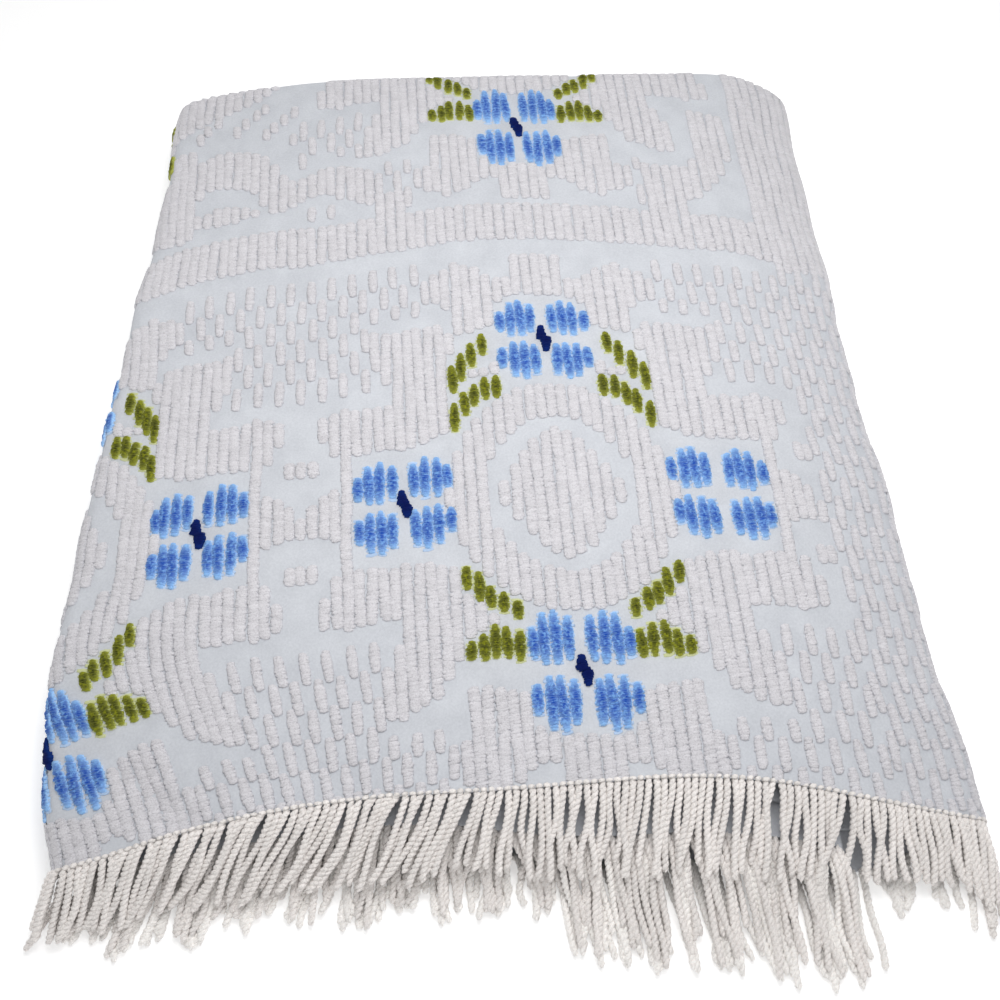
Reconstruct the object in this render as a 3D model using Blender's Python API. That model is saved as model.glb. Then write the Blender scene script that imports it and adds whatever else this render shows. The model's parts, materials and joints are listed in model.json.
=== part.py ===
"""A chenille bedspread that lies folded on a flat surface, with a twisted fringe along its hem.

The cloth is one sheet. It is folded back and forth from front to back, which makes a band of four
runs, and the band is then folded in half twice from side to side. That gives sixteen layers: the
ground panel lies on the surface, a loose roll at the right carries the cloth up and over to the top
panel, and the second and third panels lie between them. The fringed hem is on the outermost run, so
it shows at the front in four tiers. Metres, +Z up, front at -Y, origin under the middle of the box.
"""

import math

import bmesh
import bpy

# ---------------------------------------------------------------- driving sizes

CLOTH = 0.0023  # thickness of the tufted cloth, pressed by its own weight
AIR = 0.00095  # air between two layers
PITCH = CLOTH + AIR
RUNS = 4  # runs of cloth from front to back in the band
BAND = RUNS * PITCH
CREASE = BAND / 2  # radius of a side crease, to the middle of the band
RUN_CREASE = PITCH / 2  # radius of a front or back crease, to the middle of the cloth

RIGHT = 0.3085  # how far right the middle of the band reaches in the roll
INNER_RIGHT = 0.222  # the crease between the second and third panels
FREE_EDGE_GROUND = 0.006  # how far the two free side edges stop short of the left crease
FREE_EDGE_THIRD = 0.011

SEAM = 0.0003  # from the hem to the strip that carries the fringe
STRIP = 0.004  # depth of that strip
STRIP_INSET = 0.12  # the strip is thinner than the hem, by this share at each face
STRAND_PITCH = 0.0090
STRAND_WIDTH = 0.0038
STRAND_THICKNESS = 0.0022
STRAND_FALL = 0.93  # how far forward a strand reaches for its length
FLOOR_GAP = 0.0001  # under the lowest strands
ROLL_FAN = 0.006  # the strands on the roll spread outward by this much at their tips
ROLL_BARE = (0.52, 0.65)  # part of the roll's turn that has no room for one more strand

# The middle of the box in the coordinates of the tables below.
BOX_MIDDLE = (0.0183, 0.3631)

# The left crease: how far left it lies, from the front to the back.
LEFT_EDGE = (
    # y, x
    (0.040, -0.243),
    (0.080, -0.249),
    (0.130, -0.256),
    (0.210, -0.262),
    (0.380, -0.248),
    (0.540, -0.226),
    (0.740, -0.203),
)

# The hem of the top panel and the crease at the back, from left to right.
HEM_EDGE = (
    # x, y
    (-0.290, 0.082),
    (-0.229, 0.092),
    (-0.171, 0.104),
    (-0.080, 0.112),
    (0.020, 0.110),
    (0.119, 0.109),
    (0.180, 0.101),
    (0.250, 0.083),
    (0.315, 0.069),
)
BACK_EDGE = (
    # x, y
    (-0.230, 0.709),
    (-0.170, 0.722),
    (-0.090, 0.727),
    (0.060, 0.720),
    (0.200, 0.703),
    (0.270, 0.692),
    (0.320, 0.668),
)

# How each panel of the band is set: how far its hem steps forward of the top one, and how far its
# back crease stops short of the top one.
PANELS = {
    # name: (hem forward, back inset)
    "ground": (0.044, 0.004),
    "top": (0.000, 0.000),
    "second": (0.029, 0.008),
    "third": (0.034, 0.011),
}
HEM_SETTLES = 0.085  # a lower hem reaches its full step this far from the crease it starts at
GROUND_START = 0.15  # share of that step which the ground panel's hem has at its free edge
CREASE_FOLLOWS = 0.6  # the front creases of a panel step forward by this share of its hem's step
CREASE_SETBACK = 0.012  # the front creases lie behind the hem
PLAIN_END_SETBACK = 0.020

# How a strand of each panel falls: where its three rings are along it, and how high.
DROPS = {
    # name: (length, part 1, height 1, part 2, height 2, height of the tip)
    "ground": (0.050, 0.12, 0.00120, 0.55, 0.0012, 0.0012),
    "third": (0.053, 0.12, 0.02390, 0.55, 0.0062, 0.0041),
    "second": (0.056, 0.20, 0.02780, 0.60, 0.0115, 0.0067),
    "top": (0.053, 0.12, 0.04880, 0.52, 0.0397, 0.0270),
}
RIGHT_TIP_DROP = 0.0100  # the top strands hang this much lower where only the floor is under them
RIGHT_TIP_FROM = 0.226
RIGHT_TIP_TO = 0.290

# How far the strands lean to the side by their tips, from left to right.
TOP_LEAN = (
    # x, lean
    (-0.285, -0.016),
    (-0.200, -0.022),
    (-0.080, -0.021),
    (0.050, -0.010),
    (0.160, -0.006),
    (0.240, 0.001),
    (0.315, -0.002),
)
LOWER_LEAN = (
    # x, lean
    (-0.285, -0.014),
    (-0.200, -0.016),
    (-0.080, -0.008),
    (0.050, 0.004),
    (0.160, 0.010),
    (0.315, 0.000),
)

# Where the pile is lower or fuller than it would be if every layer lay quite flat.
SAGS = (
    # x, y, reach across, reach along, share of the height that is lost
    (-0.300, 0.400, 0.050, 9.000, 0.090),
    (0.000, 0.080, 9.000, 0.070, 0.050),
    (-0.265, 0.080, 0.100, 0.100, 0.130),
    (0.310, 0.060, 0.110, 0.110, 0.120),
    (0.330, 0.400, 0.070, 9.000, 0.150),
    (0.000, 0.740, 9.000, 0.060, 0.070),
    (-0.240, 0.740, 0.080, 0.080, 0.080),
    (0.040, 0.400, 0.190, 0.240, -0.055),
)

# Soft waves along the two sides: how tall, how long and where each one starts.
SIDE_WAVES = (
    # height, length, start
    (0.0016, 0.210, 0.03),
    (0.0009, 0.093, 0.01),
)
SIDE_WAVE_REACH = 0.10

# Where the mesh has points: at these Y along a run, and at these parts of a panel's width.
RUN_ROWS = (0.136, 0.165, 0.220, 0.330, 0.480, 0.620)
PANEL_PARTS = (0.0, 0.06, 0.18, 0.42, 0.72, 1.0)
RUN_CREASE_STEPS = 3
CREASE_STEPS = 4

ROLL = (
    # turn in degrees, radius (None: as large as closes the height), steps
    (90, 0.011, 3),
    (75, 0.018, 4),
    (15, None, 4),
)


# ---------------------------------------------------------------- curves


def smooth_table(table, at):
    """Reads the second column of a table at `at`, on a smooth curve through its rows."""
    if at <= table[0][0]:
        return table[0][1]
    if at >= table[-1][0]:
        return table[-1][1]
    row = next(i for i in range(len(table) - 1) if at <= table[i + 1][0])
    (x0, y0), (x1, y1) = table[row], table[row + 1]
    xa, ya = table[max(row - 1, 0)]
    xb, yb = table[min(row + 2, len(table) - 1)]
    slope0 = (y1 - ya) / (x1 - xa)
    slope1 = (yb - y0) / (xb - x0)
    t = (at - x0) / (x1 - x0)
    bend = (x1 - x0) * (slope0 * t * (1 - t) ** 2 - slope1 * t**2 * (1 - t))
    return y0 + (y1 - y0) * t * t * (3 - 2 * t) + bend


def ease(t):
    """0 to 1, flat at both ends."""
    t = min(max(t, 0.0), 1.0)
    return t * t * (3 - 2 * t)


def mix(a, b, t):
    return a + (b - a) * t


# ---------------------------------------------------------------- the band, seen from the front


class Pen:
    """Draws the middle of the band in X and Z, and notes what each station belongs to."""

    def __init__(self, x, z):
        self.x, self.z, self.heading = x, z, 0.0
        self.stations = []

    def mark(self, panel, other="", share=0.0):
        outward = (math.sin(self.heading), -math.cos(self.heading))
        self.stations.append((self.x, self.z, outward, panel, other or panel, share))

    def go(self, places, panel):
        for x in places:
            self.x = x
            self.mark(panel)

    def turn(self, degrees, radius, steps, panel, other, share=(0.0, 1.0)):
        """Turns left by this many degrees, or right if they are negative."""
        side = math.copysign(1.0, degrees)
        step = math.radians(degrees) / steps
        for count in range(1, steps + 1):
            before = self.heading
            self.heading += step
            self.x += side * radius * (math.sin(self.heading) - math.sin(before))
            self.z -= side * radius * (math.cos(self.heading) - math.cos(before))
            self.mark(panel, other, mix(*share, count / steps))


def roll_radii(rise):
    """The roll's three radii: the last one takes up what the others leave of the height."""
    radii, turned, left = [], 0.0, rise
    for degrees, radius, _ in ROLL:
        lift = math.cos(math.radians(turned)) - math.cos(math.radians(turned + degrees))
        radii.append(left / lift if radius is None else radius)
        left -= radii[-1] * lift
        turned += degrees
    return radii


def band_section(left_edge):
    """The stations of the band from the ground panel's free edge to the third panel's."""
    ground_level = (BAND - AIR) / 2
    radii = roll_radii(3 * BAND)
    ground_end = RIGHT - radii[0]
    flat_end, turned = ground_end, 0.0
    for (degrees, _, _), radius in zip(ROLL, radii):
        flat_end += radius * math.sin(math.radians(turned + degrees))
        flat_end -= radius * math.sin(math.radians(turned))
        turned += degrees
    places = [mix(left_edge, flat_end, part) for part in PANEL_PARTS]
    inner = INNER_RIGHT - CREASE

    pen = Pen(left_edge + FREE_EDGE_GROUND, ground_level)
    pen.mark("ground")
    pen.go(places[1:] + [mix(flat_end, ground_end, 0.5), ground_end], "ground")
    share = 0.0
    for (degrees, _, steps), radius in zip(ROLL, radii):
        pen.turn(degrees, radius, steps, "ground", "top", (share, share + degrees / 180))
        share += degrees / 180
    pen.go(places[-2::-1], "top")
    pen.turn(180, CREASE, CREASE_STEPS, "top", "second")
    pen.go(places[1:-1] + [inner], "second")
    pen.turn(-180, CREASE, CREASE_STEPS, "second", "third")
    pen.go(places[-2:0:-1] + [left_edge + FREE_EDGE_THIRD], "third")
    return pen.stations


# ---------------------------------------------------------------- the cloth, run by run


def run_stations():
    """Along the cloth: (part of the run, back of its crease, rise in the band, outward, run)."""
    rows = []
    for run in range(RUNS):
        level = BAND / 2 - (run + 0.5) * PITCH
        backward = run % 2 == 0
        facing = 1.0 if backward else -1.0
        stops = ("front", *RUN_ROWS, "back")
        for stop in stops if backward else stops[::-1]:
            rows.append((stop, 0.0, level, (0.0, facing), run))
        if run == RUNS - 1:
            break
        for step in range(1, RUN_CREASE_STEPS):
            angle = math.pi * step / RUN_CREASE_STEPS
            reach = facing * RUN_CREASE * math.sin(angle)
            rise = level - RUN_CREASE * (1 - math.cos(angle))
            outward = (math.sin(angle), facing * math.cos(angle))
            rows.append(("back" if backward else "front", reach, rise, outward, run + 0.5))
    return rows


def stepped(station, column):
    """A panel's value from PANELS, shared out over the turn from one panel to the next."""
    _, _, _, panel, other, share = station
    return mix(PANELS[panel][column], PANELS[other][column], share)


def hem_forward(station, left_edge):
    """A lower hem leaves the crease where it starts level with the top one, and steps forward."""
    x, panel = station[0], station[3]
    if station[5] and "top" in (panel, station[4]):
        return 0.0
    settled = 1.0 if station[5] else ease((x - left_edge) / HEM_SETTLES)
    if panel == "ground":
        settled = mix(GROUND_START, 1.0, settled) * ease((RIGHT - x) / HEM_SETTLES)
    return stepped(station, 0) * settled


def settled_point(x, y, z):
    """Lets the flat pile sag, crown and wave, and moves it to the middle of the box."""
    height = 1.0
    for sag_x, sag_y, across, along, share in SAGS:
        height -= share * math.exp(-(((x - sag_x) / across) ** 2) - ((y - sag_y) / along) ** 2)
    wave = sum(tall * math.sin(2 * math.pi * (y - start) / long) for tall, long, start in SIDE_WAVES)
    left = smooth_table(LEFT_EDGE, y)
    at_right = ease(1 - (RIGHT - x) / SIDE_WAVE_REACH)
    at_left = ease(1 - (x - left) / SIDE_WAVE_REACH)
    x += wave * (at_right - at_left)
    return (x - BOX_MIDDLE[0], y - BOX_MIDDLE[1], z * height)


def cloth_point(column, row, side):
    """A point of the cloth: its station across, its station along, and which face it is on."""
    stop, reach, rise, (back, up), run = row
    front = band_section(smooth_table(LEFT_EDGE, 0.10))[column]
    rear = band_section(smooth_table(LEFT_EDGE, 0.70))[column]
    near = smooth_table(HEM_EDGE, front[0])
    forward = hem_forward(front, smooth_table(LEFT_EDGE, 0.10))
    if run == 0:
        near -= forward
    else:
        setback = PLAIN_END_SETBACK if run == RUNS - 1 else CREASE_SETBACK
        near += setback - CREASE_FOLLOWS * forward
    far = smooth_table(BACK_EDGE, rear[0]) - stepped(rear, 1)
    y = {"front": near, "back": far}.get(stop, stop) + reach + side * back * CLOTH / 2
    x, z, outward, *_ = band_section(smooth_table(LEFT_EDGE, y))[column]
    rise += side * up * CLOTH / 2
    return settled_point(x + outward[0] * rise, y, z + outward[1] * rise)


# ---------------------------------------------------------------- bodies


def finish(name, points, faces, color, roughness):
    """Makes a closed mesh object of points and faces, in its own material."""
    mesh = bpy.data.meshes.new(name)
    mesh.from_pydata(points, [], faces)
    shape = bmesh.new()
    shape.from_mesh(mesh)
    bmesh.ops.recalc_face_normals(shape, faces=shape.faces)
    shape.to_mesh(mesh)
    shape.free()
    mesh.shade_smooth()
    mesh.set_sharp_from_angle(angle=math.radians(40))
    material = bpy.data.materials.new(name)
    material.use_nodes = True
    shader = material.node_tree.nodes["Principled BSDF"]
    shader.inputs["Base Color"].default_value = (*color, 1.0)
    shader.inputs["Roughness"].default_value = roughness
    shader.inputs["Metallic"].default_value = 0.0
    mesh.materials.append(material)
    obj = bpy.data.objects.new(name, mesh)
    bpy.context.scene.collection.objects.link(obj)
    return obj


def make_bedspread():
    """Two faces of cloth over the same stations, joined along the four edges of the sheet."""
    rows = run_stations()
    across = len(band_section(LEFT_EDGE[0][1]))
    along = len(rows)
    points = [
        cloth_point(column, row, side)
        for side in (1, -1)
        for column in range(across)
        for row in rows
    ]

    def at(side, column, row):
        return (side * across + column) * along + row

    faces = []
    for i in range(across - 1):
        for j in range(along - 1):
            corners = ((i, j), (i + 1, j), (i + 1, j + 1), (i, j + 1))
            faces += [tuple(at(side, *corner) for corner in corners) for side in (0, 1)]
        for j in (0, along - 1):
            faces.append((at(0, i, j), at(0, i + 1, j), at(1, i + 1, j), at(1, i, j)))
    for j in range(along - 1):
        for i in (0, across - 1):
            faces.append((at(0, i, j), at(0, i, j + 1), at(1, i, j + 1), at(1, i, j)))
    return finish("bedspread", points, faces, (0.71, 0.76, 0.84), 0.9)


def hem_line():
    """The hem at each station across: its outward and inward corner, as they lie, and its station."""
    outermost = run_stations()[0]
    front = band_section(smooth_table(LEFT_EDGE, 0.10))
    return [
        (cloth_point(column, outermost, 1), cloth_point(column, outermost, -1), station)
        for column, station in enumerate(front)
    ]


def strip_stations():
    """The strip's stations: on each of the cloth's own, and shared out evenly between them."""
    hem = hem_line()
    stations = [(*hem[0][:2], "ground", "ground", 0.0, False)]
    for first, last in zip(hem, hem[1:]):
        length = math.dist(first[0], last[0])
        count = max(1, round(length / STRAND_PITCH))
        (*_, before, share0), (*_, panel, other, share1) = first[2], last[2]
        same_turn = share0 < 1 and before == other
        for step in range(1, count + 1):
            t = step / count
            corners = (
                tuple(mix(a, b, t) for a, b in zip(first[corner], last[corner])) for corner in (0, 1)
            )
            share = mix(share0 if same_turn else 0.0, share1, t)
            room = length > STRAND_PITCH / 2 and not ROLL_BARE[0] < share < ROLL_BARE[1]
            stations.append((*corners, panel, other, share, room))
    return stations


def strand_middles(root, out_x, panel, other, share):
    """Middles of a strand's three rings, from its root to its tip."""
    x, y, z = root
    fanned = ease(share) if panel == "ground" else share
    length, part1, height1, part2, height2, tip = (
        mix(a, b, fanned) for a, b in zip(DROPS[panel], DROPS[other])
    )
    on_top = mix(float(panel == "top"), float(other == "top"), share)
    if on_top:
        tip -= RIGHT_TIP_DROP * on_top * ease((x - RIGHT_TIP_FROM) / (RIGHT_TIP_TO - RIGHT_TIP_FROM))
        height1 = mix(height1, z - 0.0008, on_top)
        height2 = min(height2, mix(tip, z, 0.55))
    lean = smooth_table(TOP_LEAN if on_top else LOWER_LEAN, x)
    if panel == "ground" and share:
        lean += ROLL_FAN * out_x
    return [
        (x + lean * part**1.3, y - length * STRAND_FALL * part, height)
        for part, height in ((part1, height1), (part2, height2), (1.0, tip))
    ]


def unsettled_height(x, y, z):
    """The height that a point of the pile had before it sagged."""
    return z / settled_point(x, y, 1.0)[2]


def make_fringe():
    """A strip along the hem, round every crease, with a strand drawn out of each of its faces."""
    stations = strip_stations()
    spans = len(stations) - 1
    points, faces = [], []
    for outward, inward, *_ in stations:
        for depth in (SEAM, SEAM + STRIP):
            for share in (STRIP_INSET, 1 - STRIP_INSET):
                x, y, z = (mix(a, b, share) for a, b in zip(outward, inward))
                points.append((x, y - depth, z))
    for i in range(0, 4 * spans, 4):
        faces += [(i, i + 1, i + 5, i + 4), (i, i + 4, i + 6, i + 2), (i + 1, i + 3, i + 7, i + 5)]
    end = 4 * spans
    faces += [(0, 2, 3, 1), (end, end + 1, end + 3, end + 2)]

    for i, (_, _, panel, other, share, has_strand) in enumerate(stations[1:]):
        ring = [4 * i + 2, 4 * i + 6, 4 * i + 7, 4 * i + 3]
        if not has_strand:
            faces.append(tuple(ring))
            continue
        corners = [points[corner] for corner in ring]
        middle = [sum(corner[axis] for corner in corners) / 4 for axis in range(3)]
        run = (corners[1][0] - corners[0][0], corners[1][2] - corners[0][2])
        size = math.hypot(*run)
        run = (run[0] / size, run[1] / size)
        out = (run[1], -run[0])
        x, y = middle[0] + BOX_MIDDLE[0], middle[1] + BOX_MIDDLE[1]
        root = (x, y, unsettled_height(x, y, middle[2]))
        tall = (STRAND_WIDTH * abs(run[1]) + STRAND_THICKNESS * abs(out[1])) / 2
        for x, y, z in strand_middles(root, out[0], panel, other, share):
            z = max(z, tall + FLOOR_GAP)
            new = list(range(len(points), len(points) + 4))
            for along, over in ((-1, 1), (1, 1), (1, -1), (-1, -1)):
                wide, thick = along * STRAND_WIDTH / 2, over * STRAND_THICKNESS / 2
                points.append(
                    settled_point(
                        x + wide * run[0] + thick * out[0], y, z + wide * run[1] + thick * out[1]
                    )
                )
            for k in range(4):
                faces.append((ring[k], ring[(k + 1) % 4], new[(k + 1) % 4], new[k]))
            ring = new
        faces.append(tuple(ring))
    return finish("fringe", points, faces, (0.74, 0.71, 0.67), 0.85)


def main():
    for obj in list(bpy.data.objects):
        bpy.data.objects.remove(obj)
    make_bedspread()
    make_fringe()


main()
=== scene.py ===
# %% [markdown]
# # A folded chenille bedspread
#
# This lesson dresses a folded bedspread. The solids are loaded first and never moved. Each cell
# then makes one thing that the eye sees: the folded cloth, the tufts that make its rows and
# flowers, the twisted fringe, and the finishes. Lengths are in metres, Z is up and the fringe
# faces -Y.

# %% The frame
import json
import math
import random

import bpy
import numpy as np
from mathutils import Matrix, Vector

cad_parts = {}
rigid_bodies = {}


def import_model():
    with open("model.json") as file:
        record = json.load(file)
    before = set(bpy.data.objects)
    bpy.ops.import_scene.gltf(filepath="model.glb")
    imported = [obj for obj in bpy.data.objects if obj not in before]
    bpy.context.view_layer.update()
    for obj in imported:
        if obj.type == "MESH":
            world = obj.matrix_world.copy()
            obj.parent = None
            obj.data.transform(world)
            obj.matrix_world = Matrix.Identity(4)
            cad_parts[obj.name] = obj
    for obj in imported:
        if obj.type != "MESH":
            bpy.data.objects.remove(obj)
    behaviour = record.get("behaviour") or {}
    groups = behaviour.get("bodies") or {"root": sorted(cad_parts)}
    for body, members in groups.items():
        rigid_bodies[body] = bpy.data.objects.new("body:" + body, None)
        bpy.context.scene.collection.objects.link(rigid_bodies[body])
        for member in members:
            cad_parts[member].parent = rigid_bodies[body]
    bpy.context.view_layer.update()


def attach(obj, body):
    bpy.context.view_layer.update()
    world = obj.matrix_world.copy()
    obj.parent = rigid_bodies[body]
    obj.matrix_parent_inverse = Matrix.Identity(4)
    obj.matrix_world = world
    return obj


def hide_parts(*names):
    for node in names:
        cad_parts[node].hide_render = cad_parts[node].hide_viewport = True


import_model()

# %% [markdown]
# ## The room
#
# The bedspread lies on a plain pale floor under soft studio light. The camera looks down at the
# fringed side, a little from the left. It could be aimed by hand, but a tilt, a turn and a height
# above the pile say exactly where it stands. The floor and the lamps come at the end.

# %% The camera
FOLD_MIDDLE = (0.0183, 0.3631)  # middle of the box in the coordinates of the fold tables
EYE_TILT = math.radians(63.741)
EYE_YAW = math.radians(-4.830)
EYE_HEIGHT = 0.62116
TOP_LEVEL = 0.0521


def put_in_scene(name, data):
    obj = bpy.data.objects.new(name, data)
    bpy.context.scene.collection.objects.link(obj)
    return obj


def make_camera():
    """A camera that is turned and tilted by the eye's two angles."""
    turn, tilt = (math.cos(EYE_YAW), math.sin(EYE_YAW)), (math.cos(EYE_TILT), math.sin(EYE_TILT))
    forward = Vector((-turn[1] * tilt[0], turn[0] * tilt[0], -tilt[1]))
    right = Vector((turn[0], turn[1], 0.0))
    data = bpy.data.cameras.new("camera")
    data.lens, data.sensor_width = 36.0, 36.0
    camera = put_in_scene("camera", data)
    camera.matrix_world = Matrix((right, right.cross(forward), -forward)).transposed().to_4x4()
    camera.location = (-FOLD_MIDDLE[0], -FOLD_MIDDLE[1], TOP_LEVEL + EYE_HEIGHT)
    bpy.context.scene.camera = camera
    return camera


camera = make_camera()
print("camera at", [round(value, 3) for value in camera.location])

# %% [markdown]
# ## How the cloth is folded
#
# A bedspread is put away by folding it back and forth from front to back, which makes a narrow band
# of four runs, and then folding that band in half twice from side to side. It could be laid by a
# cloth simulation, but sixteen layers would slide and take minutes. A pen that draws the band once,
# seen from the front, gives every layer its place, and the tufts and the fringe can ask it where
# they belong. The sizes are those of the solids.

# %% Sizes of the fold
CLOTH = 0.0023
AIR = 0.00095
PITCH = CLOTH + AIR
RUNS = 4
BAND = RUNS * PITCH
CREASE = BAND / 2
RUN_CREASE = PITCH / 2
RIGHT = 0.3085
INNER_RIGHT = 0.222
FREE_EDGE_GROUND = 0.006
FREE_EDGE_THIRD = 0.011

LEFT_EDGE = (
    # y, x
    (0.040, -0.243), (0.080, -0.249), (0.130, -0.256), (0.210, -0.262), (0.380, -0.248),
    (0.540, -0.226), (0.740, -0.203),
)
HEM_EDGE = (
    # x, y
    (-0.290, 0.082), (-0.229, 0.092), (-0.171, 0.104), (-0.080, 0.112), (0.020, 0.110),
    (0.119, 0.109), (0.180, 0.101), (0.250, 0.083), (0.315, 0.069),
)
BACK_EDGE = (
    # x, y
    (-0.230, 0.709), (-0.170, 0.722), (-0.090, 0.727), (0.060, 0.720), (0.200, 0.711),
    (0.270, 0.710), (0.320, 0.686),
)
PANELS = {
    # name: (hem forward, back inset)
    "ground": (0.044, 0.004),
    "top": (0.000, 0.000),
    "second": (0.029, 0.008),
    "third": (0.034, 0.011),
}
HEM_SETTLES = 0.085
HEM_STEPS = (
    # x, share of the step from one hem to the next
    (-0.260, 0.25), (-0.150, 0.40), (-0.030, 0.50), (0.030, 0.85), (0.070, 1.00),
)
GROUND_START = 0.15
CREASE_FOLLOWS = 0.6
CREASE_SETBACK = 0.012
PLAIN_END_SETBACK = 0.020
FRONT_LINE = 0.10  # the section of the band is read here for the hem, and below for the back
BACK_LINE = 0.70
SAGS = (
    # x, y, reach across, reach along, share of the height that is lost
    (-0.300, 0.400, 0.050, 9.000, 0.090),
    (0.000, 0.080, 9.000, 0.070, 0.050),
    (-0.265, 0.080, 0.100, 0.100, 0.130),
    (0.310, 0.060, 0.110, 0.110, 0.120),
    (0.330, 0.400, 0.070, 9.000, 0.150),
    (0.000, 0.740, 9.000, 0.060, 0.070),
    (-0.240, 0.740, 0.080, 0.080, 0.080),
    (0.040, 0.400, 0.190, 0.240, -0.055),
)
SIDE_WAVES = (
    # height, length, start
    (0.0016, 0.210, 0.03), (0.0009, 0.093, 0.01),
)
SIDE_WAVE_REACH = 0.10
SIDE_DRAWS = (
    # right (1) or left (0), y, reach along, how far it is drawn to the right
    (1, 0.350, 0.230, -0.0072),
    (0, 0.160, 0.055, -0.0035),
    (0, 0.500, 0.150, 0.0035),
    (0, 0.300, 0.045, 0.0040),
)
ROLL = (
    # turn in degrees, radius (None: as large as closes the height), steps
    (90, 0.011, 10),
    (75, 0.018, 9),
    (15, None, 12),
)
CREASE_STEPS = 12
HIDDEN_PARTS = 10  # stations across a panel that nobody sees, and across the top one
TOP_PARTS = 56


# %% Smooth curves through short tables
def curve(table):
    """A function that reads a table of two columns on a smooth curve through its rows."""
    xs, ys = (np.array(column, float) for column in zip(*table))
    slopes = np.empty(len(xs))
    slopes[1:-1] = (ys[2:] - ys[:-2]) / (xs[2:] - xs[:-2])
    slopes[[0, -1]] = (np.diff(ys) / np.diff(xs))[[0, -1]]

    def read(at):
        at = np.clip(np.asarray(at, float), xs[0], xs[-1])
        row = np.clip(np.searchsorted(xs, at) - 1, 0, len(xs) - 2)
        width = xs[row + 1] - xs[row]
        t = (at - xs[row]) / width
        bend = width * (slopes[row] * t * (1 - t) ** 2 - slopes[row + 1] * t**2 * (1 - t))
        return ys[row] + (ys[row + 1] - ys[row]) * t * t * (3 - 2 * t) + bend

    return read


def curves(table):
    """One such function for every column after the first."""
    return [curve([(row[0], row[column]) for row in table]) for column in range(1, len(table[0]))]


def ease(t):
    """0 to 1, flat at both ends."""
    t = np.clip(t, 0.0, 1.0)
    return t * t * (3 - 2 * t)


def mix(a, b, t):
    return a + (b - a) * t


left_edge, hem_edge, back_edge = curve(LEFT_EDGE), curve(HEM_EDGE), curve(BACK_EDGE)
hem_steps = curve(HEM_STEPS)
print("left crease at the front and back:", float(left_edge(0.1)), float(left_edge(0.7)))


# %% The pen that draws the band
class Pen:
    """Draws the middle of the band in X and Z, and notes what each station belongs to."""

    def __init__(self, x, z):
        self.x, self.z, self.heading = x, z, 0.0
        self.stations = []

    def mark(self, panel, other="", share=0.0):
        self.stations.append((self.x, self.z, self.heading, panel, other or panel, share))

    def go(self, places, panel):
        for x in places:
            self.x = x
            self.mark(panel)

    def turn(self, degrees, radius, steps, panel, other, share=(0.0, 1.0)):
        """Turns left by this many degrees, or right if they are negative."""
        side = math.copysign(1.0, degrees)
        for count in range(1, steps + 1):
            before = self.heading
            self.heading += math.radians(degrees) / steps
            self.x += side * radius * (math.sin(self.heading) - math.sin(before))
            self.z -= side * radius * (math.cos(self.heading) - math.cos(before))
            self.mark(panel, other, mix(*share, count / steps))


def roll_radii(rise):
    """The roll's three radii: the last one takes up what the others leave of the height."""
    radii, turned, left = [], 0.0, rise
    for degrees, radius, _ in ROLL:
        lift = math.cos(math.radians(turned)) - math.cos(math.radians(turned + degrees))
        radii.append(left / lift if radius is None else radius)
        left -= radii[-1] * lift
        turned += degrees
    return radii


def draw_band(left):
    """The stations of the band from the ground panel's free edge to the third panel's."""
    radii = roll_radii(3 * BAND)
    ground_end = RIGHT - radii[0]
    flat_end, turned = ground_end, 0.0
    for (degrees, _, _), radius in zip(ROLL, radii):
        flat_end += radius * math.sin(math.radians(turned + degrees))
        flat_end -= radius * math.sin(math.radians(turned))
        turned += degrees
    hidden = [mix(left, flat_end, part / HIDDEN_PARTS) for part in range(HIDDEN_PARTS + 1)]
    shown = [mix(left, flat_end, part / TOP_PARTS) for part in range(TOP_PARTS + 1)]
    inner = INNER_RIGHT - CREASE

    pen = Pen(left + FREE_EDGE_GROUND, (BAND - AIR) / 2)
    pen.mark("ground")
    pen.go(hidden[1:] + [mix(flat_end, ground_end, 0.5), ground_end], "ground")
    share = 0.0
    for (degrees, _, steps), radius in zip(ROLL, radii):
        pen.turn(degrees, radius, steps, "ground", "top", (share, share + degrees / 180))
        share += degrees / 180
    pen.go(shown[-2::-1], "top")
    pen.turn(180, CREASE, CREASE_STEPS, "top", "second")
    pen.go(hidden[1:-1] + [inner], "second")
    pen.turn(-180, CREASE, CREASE_STEPS, "second", "third")
    pen.go(hidden[-2:0:-1] + [left + FREE_EDGE_THIRD], "third")
    return pen.stations


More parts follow.
